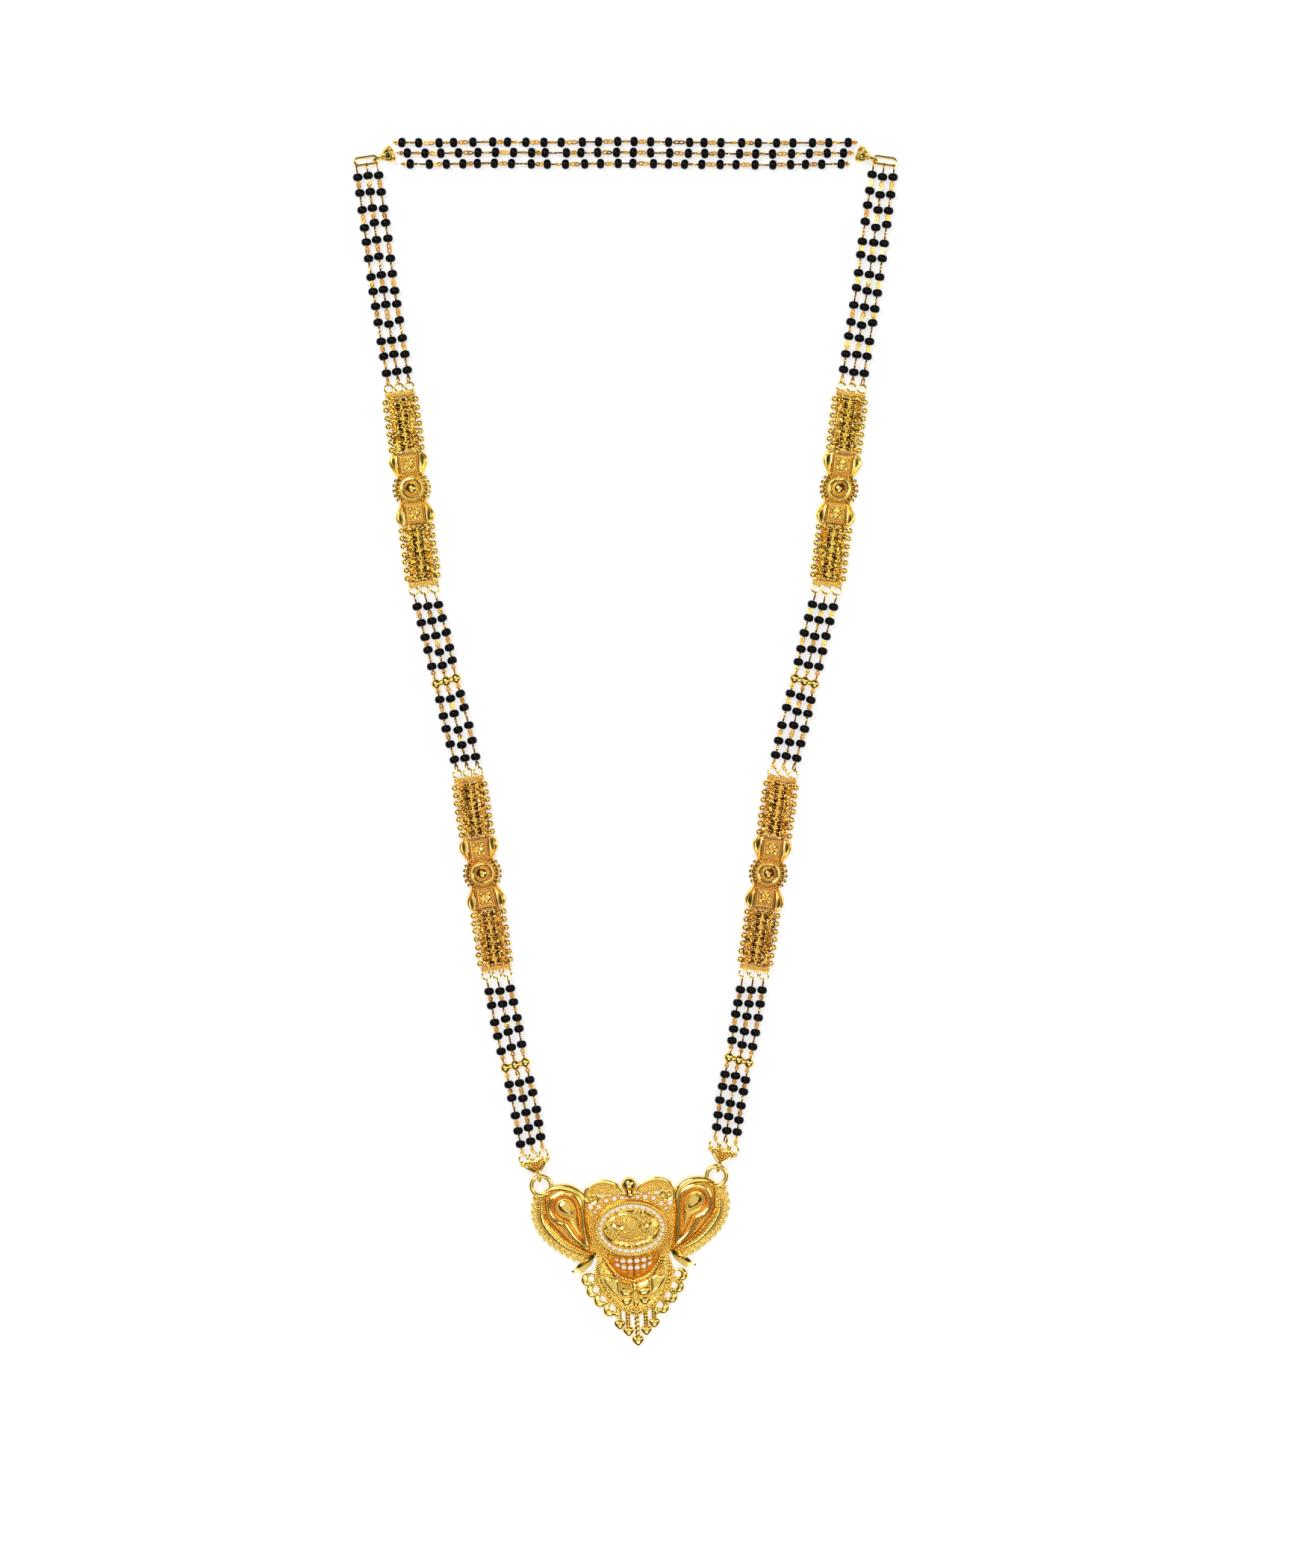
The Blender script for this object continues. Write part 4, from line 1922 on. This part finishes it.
@dataclass(frozen=True)
class Basket:
    """The open basket under the medallion: a deep orange grid with a beaded rim."""

    rim: Points = ((8.1, -8.2), (6.7, -10.9), (3.8, -13.8), (0, -15.1))

    def build(self) -> Shape:
        """Return the basket."""
        path = evenly(arch(smooth_curve(self.rim, 10)), 70)
        x = np.linspace(8.2, -8.2, 70)
        top = columns(x, -6.4 - 1.2 * (1 - (x / 8.2) ** 2))
        outline = anticlockwise(np.vstack([top, path[::-1][1:-1]]))
        cells = [(1.02, -9.3, 0), (3.08, -9.1, 6), (5.1, -8.6, 14), (1.0, -11.25, 0), (3.0, -11.0, 10),
                 (4.85, -10.35, 22)]
        square = oval(1.4, 1.0, 14)
        square = np.sign(square) * np.abs(square) ** 0.75
        holes = []
        for x, y, lean in cells:
            c, s = math.cos(math.radians(lean)), math.sin(math.radians(lean))
            holes.append(square @ np.array([[c, s], [-s, c]]) + np.array([x, y]))
        holes += [hole * MIRROR for hole in holes]
        parts = [plate(outline, 1.2, 2.0, holes).toned(Tone.RECESS),
                 milgrain(path, 0.44, 2.75, spacing=1.9), cord(path, 0.5, 2.2, 8).toned(Tone.CAST)]
        for share, radius in ((0.1, 0.24), (0.38, 0.2), (0.65, 0.2), (0.84, 0.24)):
            line = (top * (1 - share) + path * share)[3:-3]
            parts.append(cord(line, radius, 2.05, 6).toned(Tone.RECESS))
        dash = cord([[-0.45, 0], [0.45, 0]], 0.2, 0, 6)
        spots = [(1.0, -10.28, 0), (3.05, -10.05, 8), (4.95, -9.5, 18), (1.0, -12.25, 0), (2.9, -12.0, 12),
                 (1.0, -13.3, 0), (1.0, -8.25, 0), (3.1, -8.05, 6), (6.6, -8.3, 30)]
        for x, y, lean in spots:
            parts.append(dash.spun(lean).moved(x, y, 2.25).both())
        for x in (0.0, 2.05, 4.1, 6.1):
            low = -14.0 + 0.11 * x * x
            bar = np.array(
                [[x, -7.6 + 0.02 * x * x, 2.0], [x * 0.97, (low - 7.6) / 2, 2.1], [x * 0.86, low, 2.0]])
            parts.append(sweep(bar, 0.27, 6).toned(Tone.RECESS).both())
        return Shape.join(parts)


@dataclass(frozen=True)
class Shield:
    """The lower shield: two beaded rims, smooth petal panels and a flower."""

    outline: Points = ((10.2, -7.8), (11.4, -11.2), (11.2, -15.4), (9.0, -19.4), (5.0, -23.0), (0, -25.5))

    def _half(self, inset: float) -> Array:
        """Return the outline from right to left, moved inward."""
        path = evenly(arch(smooth_curve(self.outline, 8)), 120)
        return path - flat_normals(path) * inset

    def ground(self) -> Shape:
        """Return the shield's domed body."""
        outer = self._half(0.1)
        basket = smooth_curve(arch([(-8.1, -8.4), (-6.7, -11.2), (-3.8, -14.0), (0, -15.3)]), 8)
        outline = anticlockwise(np.vstack([outer, basket]))
        keel = smooth_curve(arch([(-9.6, -9.4), (-9.2, -13.0), (-7.0, -16.6), (-3.6, -18.6), (0, -19.4)]), 6)
        near = np.array([keel[np.argmin(np.linalg.norm(keel - q, axis=1))] for q in outline])
        rows = [lifted(outline, 0.3)]
        for share, z in ((0.0, 1.6), (0.25, 2.15), (0.5, 2.5), (0.8, 2.7), (0.97, 2.75)):
            rows.append(lifted(outline + (near - outline) * share, z))
        return grid(np.stack(rows)).toned(Tone.CAST)

    def rims(self) -> Shape:
        """Return the beaded rims and the textured band between them."""
        outer, inner = self._half(0.35), self._half(2.0)[6:-6]
        parts = [milgrain(outer, 0.33, 2.35, spacing=1.95), cord(outer, 0.3, 1.95, 6),
                 milgrain(inner, 0.26, 2.75, spacing=1.95)]
        random = np.random.default_rng(9)
        middle = self._half(1.15)
        spots = np.vstack([evenly(middle, 44), evenly(self._half(0.85), 40), evenly(self._half(1.5), 38)])
        spots += random.uniform(-0.16, 0.16, spots.shape)
        parts.append(granules(spots, random.uniform(0.16, 0.34, len(spots)), 2.3).toned(Tone.CAST))
        leaf = cord([[-0.3, -0.15], [0.0, 0.2], [0.3, -0.15]], 0.14, 0, 5)
        places = evenly(middle, 34)
        heading = np.degrees(np.arctan2(*flat_normals(places).T[::-1])) - 90
        parts.append(leaf.scattered(lifted(places, 2.45), heading))
        upper = [(9.6 + 0.5 * math.cos(a), -10.2 + 1.9 * math.sin(a)) for a in np.arange(0, 6.2, 0.45)]
        parts.append(granules(both_sides(upper), 0.3, 2.6))
        parts.append(ring(0.6, 0.34, 18, 6).moved(9.2, -8.7, 2.7).both())
        return Shape.join(parts)

    def panels(self) -> Shape:
        """Return the petal panels on each side, with their incised curves."""
        edge = anticlockwise(
            smooth_curve([(4.9, -14.2), (6.8, -13.4), (8.6, -13.6), (8.9, -15.0), (7.4, -17.1), (5.5, -18.7),
                          (4.6, -18.9), (4.65, -16.5)], 6, True))
        petal = dome(edge, (6.4, -15.7), 2.0, 2.7, 0.6, 5)
        rim = cord(edge, 0.2, 2.8, 6, closed=True)
        curve = cord(
            smooth_curve([(4.2, -18.9), (3.95, -16.4), (4.3, -14.4), (5.6, -12.7)], 6), 0.22, 2.9, 6)
        curl = cord(
            smooth_curve([(8.0, -14.3), (7.2, -14.1), (6.5, -14.6), (6.9, -15.3), (7.5, -15.0)], 5), 0.15,
            3.15, 5).toned(Tone.CHANNEL)
        vein = cord(
            smooth_curve([(5.2, -17.6), (5.5, -16.1), (6.4, -15.3)], 5), 0.13, 3.15, 5).toned(Tone.CHANNEL)
        leaves = []
        for x, y, lean in ((9.2, -11.6, 20), (8.2, -12.4, 50), (9.6, -13.6, 0), (7.2, -12.6, 70),
                           (7.9, -17.6, -35), (6.3, -19.3, -50)):
            leaves.append(dome(oval(0.75, 1.25, 12), (0, 0), 2.2, 2.7, 0.35, 3).spun(lean).moved(x, y))
        return Shape.join([petal, rim, curve, curl, vein, *leaves]).both()

    def flower(self) -> Shape:
        """Return the flower: a top petal, two ridged side lobes and two lower petals round its middle."""
        top = dome(oval(2.0, 2.6, 20, (0, -16.6)), (0, -16.6), 2.0, 2.8, 0.7, 4)
        edge = smooth_curve(
            [(0.8, -17.9), (2.0, -17.0), (3.9, -16.9), (4.5, -18.0), (3.6, -19.2), (1.4, -19.3)], 5, True)
        lobe = dome(anticlockwise(edge), (2.7, -18.1), 2.0, 2.8, 0.8, 5)
        ridge = cord(smooth_curve([(1.1, -17.7), (2.4, -17.2), (4.0, -17.4)], 5), 0.2, 3.4, 6)
        edge = smooth_curve([(0.9, -19.6), (2.4, -19.6), (4.1, -20.4), (3.4, -22.0), (1.6, -21.6)], 5, True)
        lower = dome(anticlockwise(edge), (2.4, -20.7), 1.8, 2.5, 0.8, 5)
        lines = cord([[1.2, -20.0], [3.4, -21.0]], 0.12, 3.1, 5).toned(Tone.CAST)
        heart = box(1.5, 2.0, 2.4, 3.7, 0.25).moved(0, -18.9)
        stem = dome(oval(1.8, 3.0, 18, (0, -21.6)), (0, -21.6), 1.8, 2.3, 0.7, 4).toned(Tone.CAST)
        tip = ring(0.55, 0.36, 18, 6).moved(0, -23.8, 2.5)
        grains = both_sides([(1.0, -22.9), (1.9, -22.8), (2.9, -22.4), (0.9, -23.9), (1.8, -23.6)])
        return Shape.join([top, Shape.join([lobe, ridge, lower, lines]).both(), heart, stem, tip,
                           granules(grains, 0.33, 2.5)])

    def build(self) -> Shape:
        """Return the whole shield."""
        random = np.random.default_rng(13)
        rim = smooth_curve(arch([(-8.6, -8.6), (-7.1, -11.5), (-4.1, -14.4), (0, -15.8)]), 8)
        area = np.vstack([self._half(2.2), rim])

        def clear(spot: Array) -> bool:
            """Return whether a spot is on the shield but not on the petals."""
            return inside(spot, area) and not (abs(spot[0]) < 4.3 and spot[1] > -22.4)

        spots = strewn(random, 1500, ((0.2, -23.6), (10.2, -8.8)), clear, 0.62)
        sizes = np.tile(random.uniform(0.2, 0.31, len(spots)), 2)
        grain = granules(both_sides(spots), sizes, 2.68).toned(Tone.CAST)
        return Shape.join([self.ground(), self.rims(), self.panels(), self.flower(), grain])


@dataclass(frozen=True)
class Fringe:
    """The crescent hooks up each side, the knobs, and the twisted stems with their heart drops."""

    hooks: Points = ((12.5, -13.8), (11.3, -17.0), (9.3, -19.7), (6.8, -22.5))
    leans: tuple[float, ...] = (-14.0, -24.0, -34.0, -40.0)
    stems: tuple[tuple[float, float, float], ...] = (
        (0.0, -24.9, -32.5), (2.6, -24.2, -29.7), (5.05, -23.1, -27.6))

    def hook(self) -> Shape:
        """Return a closed curl round the origin, thin on the left with a fat polished lobe on the right."""
        a = angles(40)
        fat = np.exp(-((np.angle(np.exp(1j * a)) / 0.95) ** 2))
        reach = 1.18 + 0.92 * fat
        path = columns(reach * np.cos(a), 1.05 * reach * np.sin(a))
        return cord(path, 0.38 + 0.75 * fat, 1.05, 12, closed=True, flat=0.9)

    def drop(self) -> Shape:
        """Return a convex heart drop with its point down, its middle at the origin."""
        half = [(0, 1.0), (0.75, 1.3), (1.45, 0.85), (1.5, 0.0), (0.95, -0.95), (0, -1.72)]
        edge = anticlockwise(smooth_curve(arch(half)[:-1], 4, True))
        return dome(edge * np.array([1.14, 0.99]), (0, 0.1), 0.25, 0.9, 0.9, 6)

    def stem(self, x: float, top: float, low: float) -> Shape:
        """Return a stem of two wires twisted together.

        Args:
            x: The stem's place across.
            top: Its upper end.
            low: Its lower end.

        Returns:
            The stem.
        """
        t = np.linspace(0, 1, 30)
        parts = []
        for phase in (0.0, math.pi):
            a = t * math.pi * 5.0 + phase
            path = columns(x + 0.3 * np.cos(a), top + (low + 1.0 - top) * t, 1.15 + 0.3 * np.sin(a))
            parts.append(sweep(path, 0.48, 7))
        return Shape.join(parts)

    def build(self) -> Shape:
        """Return the whole fringe."""
        parts = []
        for spot, lean in zip(self.hooks, self.leans):
            hook = self.hook().spun(lean).moved(*spot)
            knob = granules([np.array(spot) + turned((-0.2, -1.75), lean)], 0.45, 1.3)
            parts.append(Shape.join([hook, knob]).both())
        parts.append(ball(0.85, 14, 9).moved(5.9, -24.5, 1.1).both())
        for index, (x, top, low) in enumerate(self.stems):
            small = 1.0 if index == 0 else 0.94
            piece = Shape.join(
                [self.stem(x, top, low), self.drop().scaled(small, small, 1.0).moved(x, low - 0.05)])
            parts.append(piece if index == 0 else piece.both())
        return Shape.join(parts)


@dataclass(frozen=True)
class Pendant:
    """The winged pendant, put together from its castings in its own frame round the medallion."""

    layout: Layout
    ring_y: float = 14.1075

    def finial(self) -> Shape:
        """Return the top ball on its neck."""
        globe = ball(2.2, 36, 22).moved(0, 13.2, 2.2)
        neck = lathe([(0.9, 0.0), (1.3, 0.5), (1.15, 1.2), (1.5, 2.1), (1.9, 3.0)], 24).spun(-90, "x")
        a = np.linspace(0.15, np.pi - 0.15, 30)
        seam = columns(2.08 * np.cos(a), np.full(30, 12.5), 2.1 + 2.0 * np.sin(a))
        line = sweep(seam, 0.14, 5, up=(0, 1, 0)).toned(Tone.CAST)
        balls = granules([(-1.9, 10.5), (1.9, 10.5), (0, 9.4)], 0.5, 2.1)
        return Shape.join([globe, neck.moved(0, 9.4, 1.9), line, balls])

    def rings(self) -> Shape:
        """Return the two hanging rings with the solder that holds them."""
        hoop = ring(2.85, 1.3, 48, 14).moved(self.layout.hang_x, self.ring_y, 1.9)
        solder = granules([(23.2, 12.4), (24.6, 11.2), (27.3, 10.8)], (0.8, 0.7, 0.7), 1.7).toned(Tone.CAST)
        return Shape.join([hoop, solder]).both()

    def dress(self, shop: Workshop) -> None:
        """Add every casting of the pendant to the scene.

        Args:
            shop: The workshop that makes the pieces.
        """
        border, relief = Medallion().build()
        castings = {
            "wing_right": Wing().build(),
            "wing_left": Wing().build().mirrored(),
            "crests": Crest().build().both(),
            "medallion_border": border,
            "medallion_relief": relief,
            "body": Body().build(),
            "basket": Basket().build(),
            "shield": Shield().build(),
            "fringe": Fringe().build(),
            "finial": self.finial(),
            "hanging_rings": self.rings(),
        }
        for name, shape in castings.items():
            at = shape.moved(0, -self.ring_y).spun(self.layout.pendant_tilt)
            shop.add(f"pendant_{name}", at.moved(*self.layout.shift), "gold", "pendant", sharp=38.0)


@dataclass(frozen=True)
class SoftBox:
    """One soft area light."""

    name: str
    at: tuple[float, float, float]
    aim: tuple[float, float, float]
    size: tuple[float, float]
    power: float

    def build(self) -> None:
        """Add the light to the scene."""
        lamp = bpy.data.lights.new(self.name, "AREA")
        lamp.shape = "RECTANGLE"
        lamp.size, lamp.size_y = self.size
        lamp.energy = self.power
        holder = bpy.data.objects.new(self.name, lamp)
        holder.location = self.at
        holder.rotation_euler = (Vector(self.aim) - Vector(self.at)).to_track_quat("-Z", "Y").to_euler()
        bpy.context.scene.collection.objects.link(holder)


@dataclass(frozen=True)
class Studio:
    """The pale floor, the soft lights, the world and the camera straight above."""

    frame_height: float = 457.8
    centre: tuple[float, float] = (6.75, -12.4)
    distance: float = 1.2
    floor_size: float = 3.0
    gamma: float = 0.85
    lights: tuple[SoftBox, ...] = (
        SoftBox("key", (-0.40, 0.45, 0.75), (0.0, 0.0, 0.0), (0.5, 0.35), 4.9),
        SoftBox("fill", (0.60, 0.10, 0.60), (0.0, 0.0, 0.0), (0.3, 0.6), 2.1),
        SoftBox("low", (0.05, -0.65, 0.60), (0.0, -0.1, 0.0), (0.6, 0.2), 1.75),
    )

    def floor(self) -> None:
        """Add the floor."""
        half = self.floor_size / 2
        mesh = bpy.data.meshes.new("floor")
        mesh.from_pydata(
            [(-half, -half, 0), (half, -half, 0), (half, half, 0), (-half, half, 0)], [], [(0, 1, 2, 3)])
        mesh.materials.append(PaleFloor().material())
        floor = bpy.data.objects.new("floor", mesh)
        bpy.context.scene.collection.objects.link(floor)

    def world(self) -> None:
        """Light the surroundings: dim overhead and brighter to the sides."""
        world = bpy.data.worlds.new("studio")
        world.use_nodes = True
        bpy.context.scene.world = world
        graph = Graph(world.node_tree)
        place = graph.node("ShaderNodeTexCoord").outputs["Generated"]
        height = graph.node("ShaderNodeSeparateXYZ", inputs=[place]).outputs["Z"]
        ramp = graph.node("ShaderNodeValToRGB", inputs=[height])
        stops = ramp.color_ramp.elements
        stops[0].position, stops[0].color = 0.0, (0.3, 0.3, 0.3, 1.0)
        stops[1].position, stops[1].color = 0.94, (1.0, 1.0, 1.0, 1.0)
        for position, grey in ((0.25, 0.05), (0.58, 0.05), (0.80, 0.55)):
            stops.new(position).color = (grey, grey, grey, 1.0)
        back = graph.node("ShaderNodeBackground", inputs={"Color": ramp.outputs[0], "Strength": 0.8})
        graph.node("ShaderNodeOutputWorld", inputs={"Surface": back.outputs[0]})

    def camera(self) -> None:
        """Add the camera with the photo's own framing."""
        data = bpy.data.cameras.new("camera")
        data.sensor_fit = "VERTICAL"
        data.sensor_height = 36.0
        data.lens = data.sensor_height * self.distance / (self.frame_height * MM)
        camera = bpy.data.objects.new("camera", data)
        camera.location = (self.centre[0] * MM, self.centre[1] * MM, self.distance)
        bpy.context.scene.collection.objects.link(camera)
        bpy.context.scene.camera = camera

    def build(self) -> None:
        """Build the whole studio, shown with plain colours."""
        view = bpy.context.scene.view_settings
        view.view_transform, view.gamma = "Standard", self.gamma
        self.floor()
        self.world()
        self.camera()
        for light in self.lights:
            light.build()


def main() -> None:
    """Build the necklace piece by piece, then the studio."""
    logging.basicConfig(level=logging.INFO, format="%(name)s: %(message)s")
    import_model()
    shop = Workshop(Finishes.built())
    layout = Layout()
    Strings(layout).dress(shop)
    for side in Side:
        for name, ends in (("lower", layout.end_loops(side) + layout.lower_bottom(side)),
                           ("upper", layout.lower_top(side) + layout.upper_bottom(side))):
            Spacer(f"{name}_spacer_{side.value}", Place(ends / 2, layout.spacer_lean, side)).dress(shop)
        Panel(layout, side, 0).dress(shop)
        Panel(layout, side, 1).dress(shop)
        EndPiece(layout, side).dress(shop)
        Corner(layout, side).dress(shop)
    Pendant(layout).dress(shop)
    Studio().build()
    LOG.info("%d pieces, %d triangles", shop.pieces, shop.triangles)


if __name__ == "__main__":
    main()
